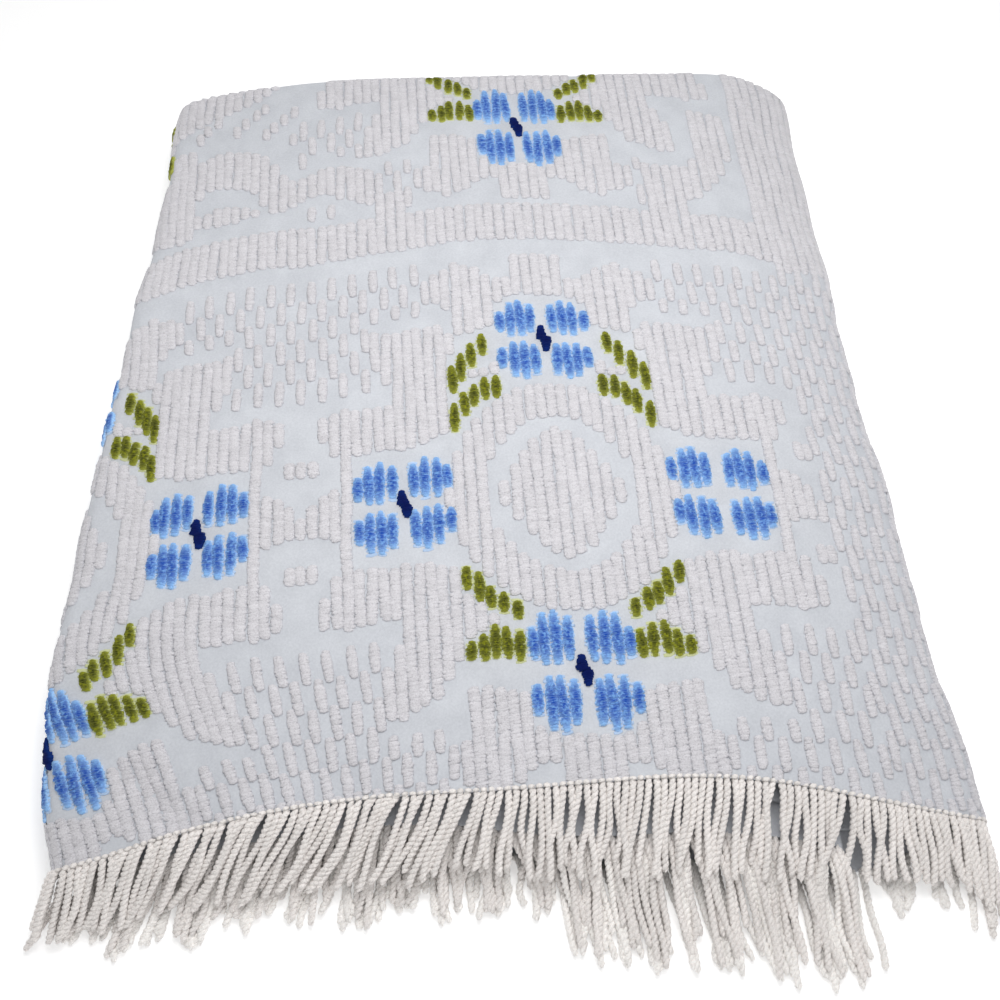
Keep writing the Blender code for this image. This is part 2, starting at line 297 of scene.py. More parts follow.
# %% The band as arrays
class Band:
    """Every station of the band. Its X, and the way along it, change evenly with the left edge."""

    def __init__(self):
        first, last = -0.25, -0.20
        drawn = [draw_band(left) for left in (first, last)]
        xs = [np.array([station[0] for station in stations]) for stations in drawn]
        self.z = np.array([station[1] for station in drawn[0]])
        heading = np.array([station[2] for station in drawn[0]])
        self.out_x, self.out_z = np.sin(heading), -np.cos(heading)
        self.panels = [station[3:] for station in drawn[0]]
        ways = [self.way_along(x) for x in xs]
        self.x_slope = (xs[1] - xs[0]) / (last - first)
        self.x_start = xs[0] - self.x_slope * first
        self.way_slope = (ways[1] - ways[0]) / (last - first)
        self.way_start = ways[0] - self.way_slope * first
        self.number = np.arange(len(self.z), dtype=float)

    def way_along(self, x):
        """How far along the outer face each station is: 0 above X = 0 on top, more to the right."""
        outer = np.stack([x + self.out_x * BAND / 2, self.z + self.out_z * BAND / 2])
        way = np.concatenate([[0.0], np.cumsum(np.hypot(*np.diff(outer)))])
        top = [i for i, station in enumerate(self.panels) if station[0] == station[1] == "top"]
        return way[top[0]] + x[top[0]] - way

    def places(self, way, left):
        """The station numbers, with fractions, at these ways along the outer face."""
        known = self.way_start + self.way_slope * left
        return np.interp(way, known[::-1], self.number[::-1])

    def read(self, values, place):
        return np.interp(place, self.number, values)

    def x_at(self, place, left):
        return self.read(self.x_start, place) + self.read(self.x_slope, place) * left


band = Band()
print("stations across:", len(band.z), "way from", band.way_start.min(), band.way_start.max())

# %% [markdown]
# ## Settling the pile
#
# A real pile is never quite flat. It sags over its edges, crowns in the middle and waves along its
# sides. Those are the sags of the solids. On top of them come the soft creases and hollows that are
# too fine for the solids. They could be sculpted into the mesh, but then the tufts would not know
# of them. So they scale the height of the whole pile, and no layer cuts into the next.

# %% Settling
SOFT_CREASES = (
    # from x, from y, to x, to y, reach, share of the height that is lost
    (-0.250, 0.172, -0.172, 0.098, 0.0100, 0.085),
    (-0.262, 0.190, -0.196, 0.118, 0.0130, -0.040),
    (-0.120, 0.150, -0.070, 0.100, 0.0140, 0.022),
    (0.236, 0.640, 0.262, 0.470, 0.0160, 0.030),
    (0.262, 0.420, 0.246, 0.180, 0.0150, 0.028),
    (0.150, 0.560, 0.245, 0.545, 0.0200, 0.020),
    (-0.215, 0.585, -0.110, 0.598, 0.0160, 0.026),
    (-0.170, 0.470, 0.020, 0.480, 0.0250, 0.014),
    (0.020, 0.250, 0.130, 0.250, 0.0300, 0.010),
)
UNEVEN = 0.012  # share of the height, over the whole pile


def unevenness(x, y):
    """Slow hollows and swells, from a few waves that never line up."""
    swell = np.sin(x * 31 + 1.3 * np.sin(y * 17 + 0.4)) * np.sin(y * 27 - 0.8)
    swell += 0.6 * np.sin(x * 57 - y * 23 + 1.9) * np.sin(y * 61 + x * 12)
    return UNEVEN * swell


def settle(x, y, z):
    """The place in the room of a point of the fold tables."""
    height = 1.0 + unevenness(x, y)
    for sag_x, sag_y, across, along, share in SAGS:
        away = ((x - sag_x) / across) ** 2 + ((y - sag_y) / along) ** 2
        height = height - share * np.exp(-away)
    for x0, y0, x1, y1, reach, share in SOFT_CREASES:
        span = (x1 - x0) ** 2 + (y1 - y0) ** 2
        t = np.clip(((x - x0) * (x1 - x0) + (y - y0) * (y1 - y0)) / span, 0.0, 1.0)
        away = np.hypot(x - mix(x0, x1, t), y - mix(y0, y1, t)) / reach
        height = height - share * np.exp(-(away**2)) * (0.35 + 0.65 * np.sin(math.pi * t))
    wave = sum(tall * np.sin(2 * math.pi * (y - start) / long) for tall, long, start in SIDE_WAVES)
    at_right = ease(1 - (RIGHT - x) / SIDE_WAVE_REACH)
    at_left = ease(1 - (x - left_edge(y)) / SIDE_WAVE_REACH)
    x = x + wave * (at_right - at_left)
    for side, middle, reach, drawn in SIDE_DRAWS:
        x = x + drawn * np.exp(-(((y - middle) / reach) ** 4)) * (at_right if side else at_left)
    return np.stack(np.broadcast_arrays(x - FOLD_MIDDLE[0], y - FOLD_MIDDLE[1], z * height), -1)


def lay(place, y, rise):
    """The place in the room of a point of the band: its station, its Y and how far out it is."""
    x = band.x_at(place, left_edge(y)) + band.read(band.out_x, place) * rise
    return settle(x, y, band.read(band.z, place) + band.read(band.out_z, place) * rise)


print("middle of the top:", lay(band.places(np.array([0.0]), -0.24), np.array([0.4]), BAND / 2))


# %% The front and back of the cloth, at every station
def shared(column):
    """A panel's value from PANELS, shared out over the turn from one panel to the next."""
    values = {name: row[column] for name, row in PANELS.items()}
    return np.array([mix(values[panel], values[other], t) for panel, other, t in band.panels])


def hem_forward():
    """A lower hem leaves the crease where it starts level with the top one, and steps forward."""
    left = left_edge(FRONT_LINE)
    x = band.x_at(band.number, left)
    settled = ease((x - left) / HEM_SETTLES)
    from_roll = ease((RIGHT - x) / HEM_SETTLES)
    forward = shared(0)
    for i, (panel, other, share) in enumerate(band.panels):
        if share and "top" in (panel, other):
            forward[i] = 0.0
        elif panel == "ground":
            forward[i] *= mix(GROUND_START, 1.0, settled[i]) * from_roll[i]
        elif not share:
            forward[i] *= settled[i]
    return forward * hem_steps(x)


forward = hem_forward()
hem = hem_edge(band.x_at(band.number, left_edge(FRONT_LINE)))
front_ends = np.stack(
    [hem - forward]
    + [hem + CREASE_SETBACK - CREASE_FOLLOWS * forward] * 2
    + [hem + PLAIN_END_SETBACK - CREASE_FOLLOWS * forward]
)
back_end = back_edge(band.x_at(band.number, left_edge(BACK_LINE))) - shared(1)
OUTER_LEVEL = (BAND - PITCH) / 2  # from the middle of the band to the middle of its outermost run
for name, ends in (("hem", front_ends[0]), ("back", back_end)):
    print(name, "from", ends.min(), "to", ends.max())

# %% [markdown]
# ## The cloth
#
# The ground of the bedspread is one sheet of plain-woven cotton. One face with a thickness added to
# it would cut into itself at the creases. So it is made as two faces of a fine grid, the right side
# and the wrong side, which follow the runs of the fold and meet at the hem, the plain end and the
# two side edges. Its UV map holds the way across and the way along the cloth in metres, so that the
# weave follows it round every crease.

# %% The runs of the cloth
SHOWN_RUN_PARTS = 62
HIDDEN_RUN_PARTS = 8
RUN_CREASE_STEPS = 8
SHARP = math.radians(50)


def run_rows():
    """Along the cloth: run, part of the run, reach past its end, rise, outward back, outward up."""
    rows = []
    for run in range(RUNS):
        level, facing = BAND / 2 - (run + 0.5) * PITCH, 1.0 if run % 2 == 0 else -1.0
        parts = np.linspace(0, 1, SHOWN_RUN_PARTS if run == 0 else HIDDEN_RUN_PARTS)
        rows += [(run, part, 0.0, level, 0.0, facing) for part in parts[:: int(facing)]]
        for step in range(1, RUN_CREASE_STEPS) if run < RUNS - 1 else ():
            turned = math.pi * step / RUN_CREASE_STEPS
            reach = facing * RUN_CREASE * math.sin(turned)
            rise = level - RUN_CREASE * (1 - math.cos(turned))
            end = 1.0 if facing > 0 else 0.0
            rows.append((run, end, reach, rise, math.sin(turned), facing * math.cos(turned)))
    return rows


def cloth_row(run, part, reach, rise, back, up, side):
    """One row of the cloth across all stations: its right side (1), wrong side (-1) or middle."""
    y = mix(front_ends[run], back_end, part) + reach + side * back * CLOTH / 2
    return lay(band.number, y, rise + side * up * CLOTH / 2)


def new_object(name, points, faces, edges=()):
    mesh = bpy.data.meshes.new(name)
    mesh.from_pydata(np.asarray(points).tolist(), list(edges), faces)
    mesh.validate()
    return put_in_scene(name, mesh)


def grid_faces(first, columns, rows, flip=False):
    """Squares between the points of a grid that is stored row by row."""
    faces = []
    for row in range(rows - 1):
        for column in range(columns - 1):
            corner = first + row * columns + column
            square = (corner, corner + 1, corner + columns + 1, corner + columns)
            faces.append(square[::-1] if flip else square)
    return faces


def make_cloth():
    """The sheet, and the size it was cut to."""
    rows = run_rows()
    columns, count = len(band.z), len(rows)
    right_side, wrong_side, middle = (
        np.stack([cloth_row(*row, side) for row in rows]) for side in (1, -1, 0)
    )
    points = np.concatenate([right_side.reshape(-1, 3), wrong_side.reshape(-1, 3)])
    half = columns * count
    faces = grid_faces(0, columns, count, flip=True) + grid_faces(half, columns, count)
    corner = np.arange(half).reshape(count, columns)
    edges = ((corner[0], False), (corner[-1], True), (corner[:, 0], True), (corner[:, -1], False))
    for edge, flip in edges:
        for a, b in zip(edge.tolist(), edge[1:].tolist()):
            strip = (a, b, half + b, half + a)
            faces.append(strip[::-1] if flip else strip)
    obj = new_object("cloth", points, faces)
    mesh = obj.data
    steps = np.linalg.norm(np.diff(middle, axis=0), axis=2)
    along = np.concatenate([np.zeros((1, columns)), np.cumsum(steps, axis=0)])
    across = np.broadcast_to(band.way_start + band.way_slope * left_edge(0.4), along.shape)
    flat = np.stack([across.ravel(), along.ravel()], -1)
    flat = np.concatenate([flat, flat])
    corners = np.empty(len(mesh.loops), np.int32)
    mesh.loops.foreach_get("vertex_index", corners)
    mesh.uv_layers.new(name="cloth").data.foreach_set("uv", flat[corners].ravel())
    mesh.shade_smooth()
    mesh.set_sharp_from_angle(angle=SHARP)
    return obj, (float(across.max() - across.min()), float(np.median(along[-1])))


cloth, flat_size = make_cloth()
print("cloth:", len(cloth.data.polygons), "faces, cut", [round(size, 3) for size in flat_size])

# %% [markdown]
# ## The pattern
#
# Chenille rows are sewn through the ground cloth side by side, and each row is clipped into tufts.
# The design could be painted on as a texture, but then no tuft would stand where a colour ends. It
# is drawn row by row instead, as a weaver's draft is: a number says which row it is, counted from
# the middle of a wreath, and a length in millimetres says where along the row a colour starts and
# ends. A wreath is a white cloud round a lozenge, with four flowers and their leaves.

# %% The rows, and how the cloth lies askew
ROW_STEP = 0.00787
MIDDLE_ROW = 0.0695  # way across of the row through the middle of a wreath
WREATH_ROWS = 46  # from one wreath to the next
WREATH_Y = 0.310
WREATH_REPEAT = 477  # millimetres
SKEW = (
    # way across, how far forward the design lies there
    (-0.230, -0.036), (-0.210, -0.027), (-0.170, -0.019), (-0.140, -0.014), (-0.100, -0.013),
    (-0.060, -0.007), (-0.020, -0.003), (0.000, 0.000), (0.045, 0.000), (0.093, -0.005),
    (0.140, -0.011), (0.186, -0.020), (0.230, -0.027), (0.2635, -0.037), (0.275, -0.045),
)
SKEW_IN_FRONT = 0.65  # the share of it that is left in front
SKEW_GROWS = (0.30, 0.23)  # from this Y, over this length
PULLS = (
    # how far rows are pulled; from this way across, over this width; from this Y, over this length
    (0.006, -0.20, 0.05, 0.22, 0.10),
    (0.044, -0.01, 0.22, 0.23, -0.15),
)
WANDERS = ((0.0005, 43, 1.7), (0.0004, 101, 2.9))  # how far, turns along a row, from row to row
skew_at = curve(SKEW)


def design_b(way, y):
    """Millimetres back from the middle of the wreath."""
    skew = skew_at(way) * mix(SKEW_IN_FRONT, 1.0, ease((y - SKEW_GROWS[0]) / SKEW_GROWS[1]))
    return (y - skew - WREATH_Y) * 1000


def row_way(row, y):
    """The way across of a row at each Y: the rows at the left crease were pulled askew."""
    way = MIDDLE_ROW + ROW_STEP * row + 0 * y
    way = way + sum(
        far * ease((way_from - way) / width) * ease((y - y_from) / length)
        for far, way_from, width, y_from, length in PULLS
    )
    for far, turns, by_row in WANDERS:
        way = way + far * np.sin(y * turns + row * by_row)
    return way


for side, way in (("left", -0.28), ("right", 0.352)):
    print("row at the", side, "edge of the top:", round((way - MIDDLE_ROW) / ROW_STEP, 1))

# %% The draft of a wreath
WHITE, LATTICE, BLUE, GREEN, NAVY, AZURE, LIME = range(1, 8)
# Half lengths in millimetres, for the rows 0, 1, 2 and so on from the middle of the wreath.
LOZENGE = (51, 47, 41, 32, 21, 9)
RING_OUTSIDE = (87, 87, 86, 84, 80, 75, 69, 61, 50, 36, 15)
RING_INSIDE = (60, 59, 57, 53, 47, 38, 27)
CLOUD = {
    # row from the middle: (from, to behind, to in front) in millimetres
    10: ((52, 146, 117),),
    11: ((50, 146, 128),),
    12: ((46, 147, 139),),
    13: ((45, 146, 141),),
    14: ((44, 145, 145),),
    15: ((46, 82, 82), (100, 146, 148)),
    16: ((45, 82, 82), (114, 148, 148)),
    17: ((44, 82, 82),),
    18: ((44, 82, 82),),
    19: ((-1, 85, 85),),
    20: ((46, 82, 82), (-1, 20, 20)),
    21: ((60, 80, 80), (-1, 16, 16)),
    22: ((-1, 10, 10),),
}
# From and to, in millimetres, for the rows 0, 1, 2 and so on.
LOBES = (
    (170, 209), (170, 209), (170, 209), (168, 186), (163, 186), (142, 190),
    (139, 197), (137, 200), (136, 203), (160, 197), (168, 195),
)
BITS = (
    # row, from, to
    (5, 98, 108), (6, 97, 103), (7, 97, 103), (9, -197, -135), (9, 120, 138),
    (9, -103, -72), (8, -98, -80), (7, -96, -88),
)
# Row from the middle of a flower: (middle, half its length).
PETAL = {1: (18.5, 13.0), 2: (19.5, 16.0), 3: (18.5, 15.0), 4: (16.5, 9.0)}
HALF_HEART = 10
PLAIN_HEART_ROW = 14  # the flower at the right has no navy heart
FLOWERS = ((0, 128, 1.0), (0, -128, 1.12), (14, 0, 1.0), (-14, 0, 1.0))  # row, middle, size
LEAVES = (
    # first row, then for each row: (middle, half its length)
    (6, ((125, 9), (116, 11), (106, 12), (96, 12))),
    (5, ((87, 9), (86, 9), (80, 9), (74, 10), (63, 11))),
    (5, ((-111, 10), (-108, 11), (-107, 11), (-110, 9), (-112, 6))),
    (5, ((-86, 6), (-80, 7), (-76, 8), (-68, 10), (-61, 8))),
)
LATTICE_ROWS = ((11, 158), (17, 95))  # from this row outwards it starts at this length
LATTICE_END = 209
DASH_MIDDLES = (124, 105.5)  # in the even rows and the odd ones
DASH_PERIOD, DASH = 37, 20


def between(b, start, end):
    return (b > start) & (b < end)


def dash(b, middle, period, length):
    return np.abs((b - middle + period / 2) % period - period / 2) < length / 2


def wreath_kinds(row, from_axis, b, petals=1.0):
    """The colours of one row of a wreath, by the distance b from its middle."""
    a, far = abs(from_axis), np.abs(b)
    kinds = np.zeros(len(b), int)
    dashes = dash(far, DASH_MIDDLES[row % 2], DASH_PERIOD, DASH)
    for first, start in LATTICE_ROWS:
        if a >= first:
            kinds[between(far, start, LATTICE_END) & dashes] = LATTICE
    if a < len(RING_OUTSIDE):
        inside = RING_INSIDE[a] if a < len(RING_INSIDE) else -1
        kinds[between(far, inside, RING_OUTSIDE[a])] = WHITE
    if a < len(LOZENGE):
        kinds[far < LOZENGE[a]] = WHITE
    for start, behind, in_front in CLOUD.get(a, ()):
        kinds[(far > start) & between(b, -in_front, behind)] = WHITE
    if a < len(LOBES):
        kinds[between(far, *LOBES[a])] = WHITE
    for bit_row, start, end in BITS:
        if a == bit_row:
            kinds[between(b, start, end)] = WHITE
    for first, spans in LEAVES:
        if 0 <= a - first < len(spans):
            middle, half = spans[a - first]
            kinds[np.abs(b - middle) < half] = GREEN
    for flower_row, flower_b, size in FLOWERS:
        from_middle = from_axis - flower_row
        if abs(from_middle) in PETAL:
            middle, half = (length * petals * size for length in PETAL[abs(from_middle)])
            kinds[np.abs(np.abs(b - flower_b) - middle) < half] = BLUE
        if from_middle == 0 and row != PLAIN_HEART_ROW:
            kinds[np.abs(b - flower_b) < HALF_HEART] = NAVY
    return kinds


# %% The draft of the whole cloth
BAND_START = 225  # the plain white band behind a wreath
BAND_END = 262  # from here on it is the wreath behind
BAND_PEAKS = {-15: 287, -14: 287, -13: 287, 13: 313, 14: 313, 15: 313, 16: 313}
# Behind the band a ribbon of short rows winds across. Right of the middle, row: (from, to).
RIBBON = {
    16: (275, 312), 17: (278, 312), 18: (280, 322), 19: (288, 378),
    20: (297, 378), 21: (308, 378), 22: (327, 378),
}
LEFT_RIBBON = (
    # row left of the middle, from, to
    (-37, 272, 366), (-35, 272, 366), (-34, 312, 352), (-32, 319, 358), (-30, 315, 355),
    (-28, 306, 350), (-27, 292, 346), (-26, 281, 333), (-24, 286, 315), (-21, 297, 324),
    (-19, 289, 324), (-17, 281, 318), (-16, 277, 314),
)
LEFT_RIBBON_ROWS, LEFT_ROWS = range(-37, -15), range(-37, -23)
LEFT_DASHES = (355, 408)  # the lattice there: from, to
LEFT_MIDDLE, LEFT_STEP, LEFT_PERIOD, LEFT_DASH = 362, 8.5, 34, 12
RIGHT_ROWS = 15  # from this row on no lattice shows behind the band
RIBBON_CLEAR = 12  # no dash of the lattice comes nearer
COMBED_ROWS, COMBED_DASH = range(24, 41), 24  # right of the last wreath
GAP_ROWS, GAPS = (22, 23), ((32, 45), (-48, -35), (-15, 0))  # dashes between two wreaths
SHORT_ROWS = {
    # under the left ribbon
    -34: (282, 294), -33: (280, 295), -32: (279, 299), -31: (280, 298),
    -30: (279, 297), -29: (281, 293), -28: (280, 289),
}
ribbon_from, ribbon_to = curves(LEFT_RIBBON)
behind_from = curve(((-40, 380), (-36, 388), (-32, 401), (-28, 415), (-24, 440)))


def row_kinds(row, y):
    """The colours along one row of the whole cloth."""
    b = design_b(row_way(row, y), y)
    from_axis = row - WREATH_ROWS * round(row / WREATH_ROWS)
    behind = wreath_kinds(row, from_axis, b - WREATH_REPEAT, petals=1.16)
    kinds = np.where(b > BAND_END, behind, wreath_kinds(row, from_axis, b))
    for gap in GAPS if abs(from_axis) in GAP_ROWS else ():
        kinds[between(b, *gap)] = WHITE
    kinds[between(b, BAND_START, BAND_PEAKS.get(row, BAND_END))] = WHITE
    ribbon = RIBBON.get(row)
    if row in LEFT_ROWS:
        kinds[b > BAND_END] = 0
        dashes = dash(b, LEFT_MIDDLE + LEFT_STEP * (row % 4), LEFT_PERIOD, LEFT_DASH)
        kinds[between(b, *LEFT_DASHES) & dashes] = LATTICE
        kinds[b > float(behind_from(row))] = WHITE
        kinds[between(b, *SHORT_ROWS.get(row, (0, 0)))] = WHITE
    if row in LEFT_RIBBON_ROWS:
        ribbon = float(ribbon_from(row)), float(ribbon_to(row))
    if row >= RIGHT_ROWS:
        kinds[(b > BAND_END) & (kinds == LATTICE)] = 0
    if ribbon:
        near = between(b, ribbon[0] - RIBBON_CLEAR, ribbon[1] + RIBBON_CLEAR)
        kinds[near & (kinds == LATTICE)] = 0
        kinds[between(b, *ribbon)] = WHITE
    if row in COMBED_ROWS:
        combed = dash(b, DASH_MIDDLES[row % 2], DASH_PERIOD, COMBED_DASH)
        kinds = np.where(b > BAND_START, WHITE, np.where(combed, LATTICE, 0))
    return kinds


print("colours along the middle row:", np.unique(row_kinds(0, np.arange(0.1, 0.72, 0.002))))

# %% [markdown]
# ## Where each tuft stands
#
# Every row is a line of tufts one and a half millimetres apart. Python works out where each one
# stands and which way it faces, because only the draft and the fold know that, and geometry nodes
# then set a small dome of yarn on each point. The dye of a flower has run a little into the cloth
# round it, so short pale tufts fill the gaps between its rows.

# %% Rows of tufts
ROWS = range(-50, 41)
TUFT_STEP, ROW_SPAN = 0.0015, (0.05, 0.74)  # from tuft to tuft, and from and to in Y
HALO_STEP, HALO_SPAN = 0.0030, (0.06, 0.73)
HALO_REACH = 0.0006
SHORTEST_DASH = 6  # tufts
LAST_WHITE, LATTICE_TAPER = 0.55, 0.7  # how much the last tuft of a row is an end, and a dash
HEART_ASIDE = 0.18  # of a row
HEM_SETBACK = 0.0015  # of the first tuft of a row
OFF_ALONG, OFF_ACROSS = 0.0004, 0.03  # at most, in metres and in stations
TALLEST, FLOOR_CLEAR = 0.003, 0.0012
PILE = {
    # kind: (width of a row, length of a tuft, height of its pile)
    WHITE: (0.0080, 0.0037, 0.0015),
    LATTICE: (0.0072, 0.0037, 0.0020),
    BLUE: (0.0080, 0.0028, 0.0025),
    GREEN: (0.0074, 0.0028, 0.0027),
    NAVY: (0.0078, 0.0034, 0.0032),
    AZURE: (0.0090, 0.0034, 0.0006),
    LIME: (0.0090, 0.0032, 0.0006),
}
OUTER_FACE = (BAND - AIR) / 2
CREASE_END = max(i for i, panel in enumerate(band.panels) if panel[:2] == ("top", "second"))


def place_of(row, y):
    """The station numbers of a row at each Y."""
    return np.array([band.places(*at) for at in zip(row_way(row, y), left_edge(y))])


def runs_of(kinds):
    """Where each run of one colour starts and stops."""
    cuts = np.concatenate([[0], np.flatnonzero(np.diff(kinds)) + 1, [len(kinds)]])
    return list(zip(cuts, cuts[1:]))


def along_runs(kinds):
    """How far along its run of one colour each tuft is, from -1 to 1."""
    return np.concatenate([np.linspace(-1, 1, b - a + 2)[1:-1] for a, b in runs_of(kinds)])


def on_cloth(place, y, kinds, ends):
    """Only the tufts that stand on the cloth, and outside its innermost crease."""
    near = np.interp(place, band.number, front_ends[0]) + HEM_SETBACK
    far = np.interp(place, band.number, back_end)
    keep = (y > near) & (y < far) & (kinds > 0) & (place < CREASE_END)
    return place[keep], y[keep], kinds[keep], ends[keep]


def row_of_tufts(row, rng):
    """(place, y, kind, how near the end of its run) of each tuft along one row."""
    y = np.arange(ROW_SPAN[0] + rng.uniform(0, TUFT_STEP), ROW_SPAN[1], TUFT_STEP)
    kinds = row_kinds(row, y)
    for start, stop in runs_of(kinds):
        if kinds[start] == LATTICE and stop - start < SHORTEST_DASH:
            kinds[start:stop] = 0
    t = along_runs(kinds)
    last = np.ones(len(y), bool)
    last[1:-1] = (kinds[:-2] != kinds[1:-1]) | (kinds[2:] != kinds[1:-1])
    ends = np.where(kinds == WHITE, LAST_WHITE * last, t**2)
    ends[kinds == LATTICE] *= LATTICE_TAPER
    # The navy heart of a flower is two short dashes side by side, one ahead of the other.
    aside = np.where(kinds == NAVY, -HEART_ASIDE * np.sign(t), 0.0)
    return on_cloth(place_of(row + aside, y), y, kinds, ends)


def halo_of_tufts(row, rng):
    """The short pale tufts that stand out all round a coloured row."""
    y = np.arange(HALO_SPAN[0] + rng.uniform(0, HALO_STEP), HALO_SPAN[1], HALO_STEP)
    halo = np.zeros(len(y), int)
    for ahead in (-HALO_REACH, HALO_REACH):
        own = row_kinds(row, y + ahead)
        halo[own == BLUE], halo[own == GREEN] = AZURE, LIME
    return on_cloth(place_of(row, y), y, halo, np.abs(along_runs(halo)) ** 3)


def all_tufts():
    rng = np.random.default_rng(5)
    parts = []
    for row in ROWS:
        parts += [row_of_tufts(row, rng), halo_of_tufts(row, rng)]
    place, y, kinds, ends = (np.concatenate(values) for values in zip(*parts))
    y = y + rng.uniform(-OFF_ALONG, OFF_ALONG, len(y))
    place = place + rng.uniform(-OFF_ACROSS, OFF_ACROSS, len(y))
    return place, y, kinds, ends


def unit(vectors):
    return vectors / np.linalg.norm(vectors, axis=1, keepdims=True)


def tuft_frame(place, y, rise):
    """The foot of each tuft, the way its row runs, and the way its pile stands."""
    step, part = 0.0005, 0.05  # in metres, and in stations
    along = lay(place, y + step, rise) - lay(place, y - step, rise)
    across = lay(place - part, y, rise) - lay(place + part, y, rise)
    return lay(place, y, rise), unit(along), unit(np.cross(across, along))


place, y, kinds, ends = all_tufts()
foot, along, up = tuft_frame(place, y, OUTER_FACE)
kinds[foot[:, 2] + up[:, 2] * TALLEST <= FLOOR_CLEAR] = 0  # these would reach below the floor
print("tufts:", len(place), {kind: int((kinds == kind).sum()) for kind in PILE})

# %% [markdown]
# ### The creases at the back
#
# Seen from behind, each fold of the cloth shows its right side, and the rows run over it. The
# creases are narrow, so they could be left bare, but the pile would look bald from behind. A few
# tufts to each row stand on the round of each crease.

# %% Tufts round the back creases
CREASE_TUFTS = 4
CREASE_FIRST_ROW = -97  # the rows before it are in the third panel, which nobody sees
CREASE_RUNS = ((0, 0.0), (2, 0.150))  # run that a crease ends, how far forward its draft is read
DRAFT_END = 0.715
CREASE_CLEAR = 0.0034  # a tuft stands at least this high above the floor


def crease_tufts():
    rng = np.random.default_rng(9)
    left, radius = left_edge(BACK_LINE), RUN_CREASE + CLOTH / 2
    last_way = band.way_start[0] + band.way_slope[0] * left
    crease_rows = range(CREASE_FIRST_ROW, math.ceil((last_way - MIDDLE_ROW) / ROW_STEP))
    feet, alongs, ups = [], [], []
    for row, run, read_at in ((row, *crease) for row in crease_rows for crease in CREASE_RUNS):
        at = band.places(MIDDLE_ROW + ROW_STEP * row, left)
        back = np.interp(at, band.number, back_end)
        if row_kinds(row, np.array([min(back, DRAFT_END) - read_at]))[0] == 0:
            continue
        level = BAND / 2 - (run + 0.5) * PITCH - RUN_CREASE
        turned = math.pi * (np.arange(CREASE_TUFTS) + 0.5) / CREASE_TUFTS
        turned = turned + rng.uniform(-0.1, 0.1, CREASE_TUFTS)

        def at_turn(t, out=0.0):
            reach = radius + out
            return lay(np.full(len(t), at), back + reach * np.sin(t), level + reach * np.cos(t))

        turned = turned[at_turn(turned)[:, 2] > CREASE_CLEAR]
        feet.append(at_turn(turned))
        ups.append(at_turn(turned, 0.001) - at_turn(turned))
        alongs.append(at_turn(turned + 0.05) - at_turn(turned - 0.05))
    return np.concatenate(feet), unit(np.concatenate(alongs)), unit(np.concatenate(ups))


crease_foot, crease_along, crease_up = crease_tufts()
print("tufts round the back creases:", len(crease_foot))

# %% [markdown]
# ## Trees of nodes
#
# What repeats is grown by geometry nodes: one tree sets the tufts, another lays the fringe. The
# materials are trees too. They could be drawn by hand in the editor, but written down they can be
# read and changed. The small helper below adds a node, fills in its sockets and links what is a
# socket already, so a tree reads from its start to its end.

# %% A helper that writes trees of nodes
class Nodes:
    """Adds nodes to a tree and links them."""

    def __init__(self, tree, inputs=(), outputs=()):
        self.tree = tree
        for direction, sockets in (("INPUT", inputs), ("OUTPUT", outputs)):
            for name, kind, *value in sockets:
                made = tree.interface.new_socket(name, in_out=direction, socket_type=kind)
                if value:
                    made.default_value = value[0]
        self.start = self.add("NodeGroupInput").outputs if inputs else None
        self.end = self.add("NodeGroupOutput") if outputs else None

    def put(self, value, socket):
        """Links a socket to another one, or fills a plain value in."""
        if isinstance(value, bpy.types.NodeSocket):
            self.tree.links.new(value, socket)
        else:
            socket.default_value = value

    def add(self, kind, inputs=None, **settings):
        node = self.tree.nodes.new(kind)
        for name, value in settings.items():
            setattr(node, name, value)
        for name, value in (inputs or {}).items():
            self.put(value, node.inputs[name])
        return node

    def math(self, operation, *values):
        return self.add("ShaderNodeMath", dict(enumerate(values)), operation=operation).outputs[0]

    def vector(self, operation, *values):
        values = dict(enumerate(values))
        return self.add("ShaderNodeVectorMath", values, operation=operation).outputs["Vector"]

    def scaled(self, vector, scale):
        values = {0: vector, "Scale": scale}
        return self.add("ShaderNodeVectorMath", values, operation="SCALE").outputs["Vector"]

    def noise(self, place, scale, detail=2.0, roughness=0.5):
        inputs = {"Vector": place, "Scale": scale, "Detail": detail, "Roughness": roughness}
        return self.add("ShaderNodeTexNoise", inputs).outputs["Fac"]

    def ramp(self, value, low, high, to_low=0.0, to_high=1.0, **settings):
        """The value, carried over from one range to another."""
        spans = {"From Min": low, "From Max": high, "To Min": to_low, "To Max": to_high}
        return self.add("ShaderNodeMapRange", {"Value": value, **spans}, **settings).outputs[0]

    def blend(self, share, a, b):
        """A colour between two others."""
        return self.add("ShaderNodeMix", {0: share, 6: a, 7: b}, data_type="RGBA").outputs[2]

    def named(self, name, kind="FLOAT"):
        node = self.add("GeometryNodeInputNamedAttribute", {"Name": name}, data_type=kind)
        return node.outputs["Attribute"]

    def finish(self, geometry):
        """Ends a tree of geometry nodes: real meshes, in the finish that the tree is given."""
        whole = self.add("GeometryNodeRealizeInstances", {"Geometry": geometry}).outputs[0]
        dressed = self.add(
            "GeometryNodeSetMaterial", {"Geometry": whole, "Material": self.start["Finish"]}
        )
        self.put(dressed.outputs[0], self.end.inputs[0])
        return self.tree


# %% Growing a mesh with a tree
def geometry_tree(name, *inputs):
    """A tree of geometry nodes that takes a geometry, a finish and these sizes."""
    first = (("Geometry", "NodeSocketGeometry"), ("Finish", "NodeSocketMaterial"))
    tree = bpy.data.node_groups.new(name, "GeometryNodeTree")
    return Nodes(tree, first + inputs, outputs=first[:1])


def plain(name):
    return name.lower().replace(" ", "_")


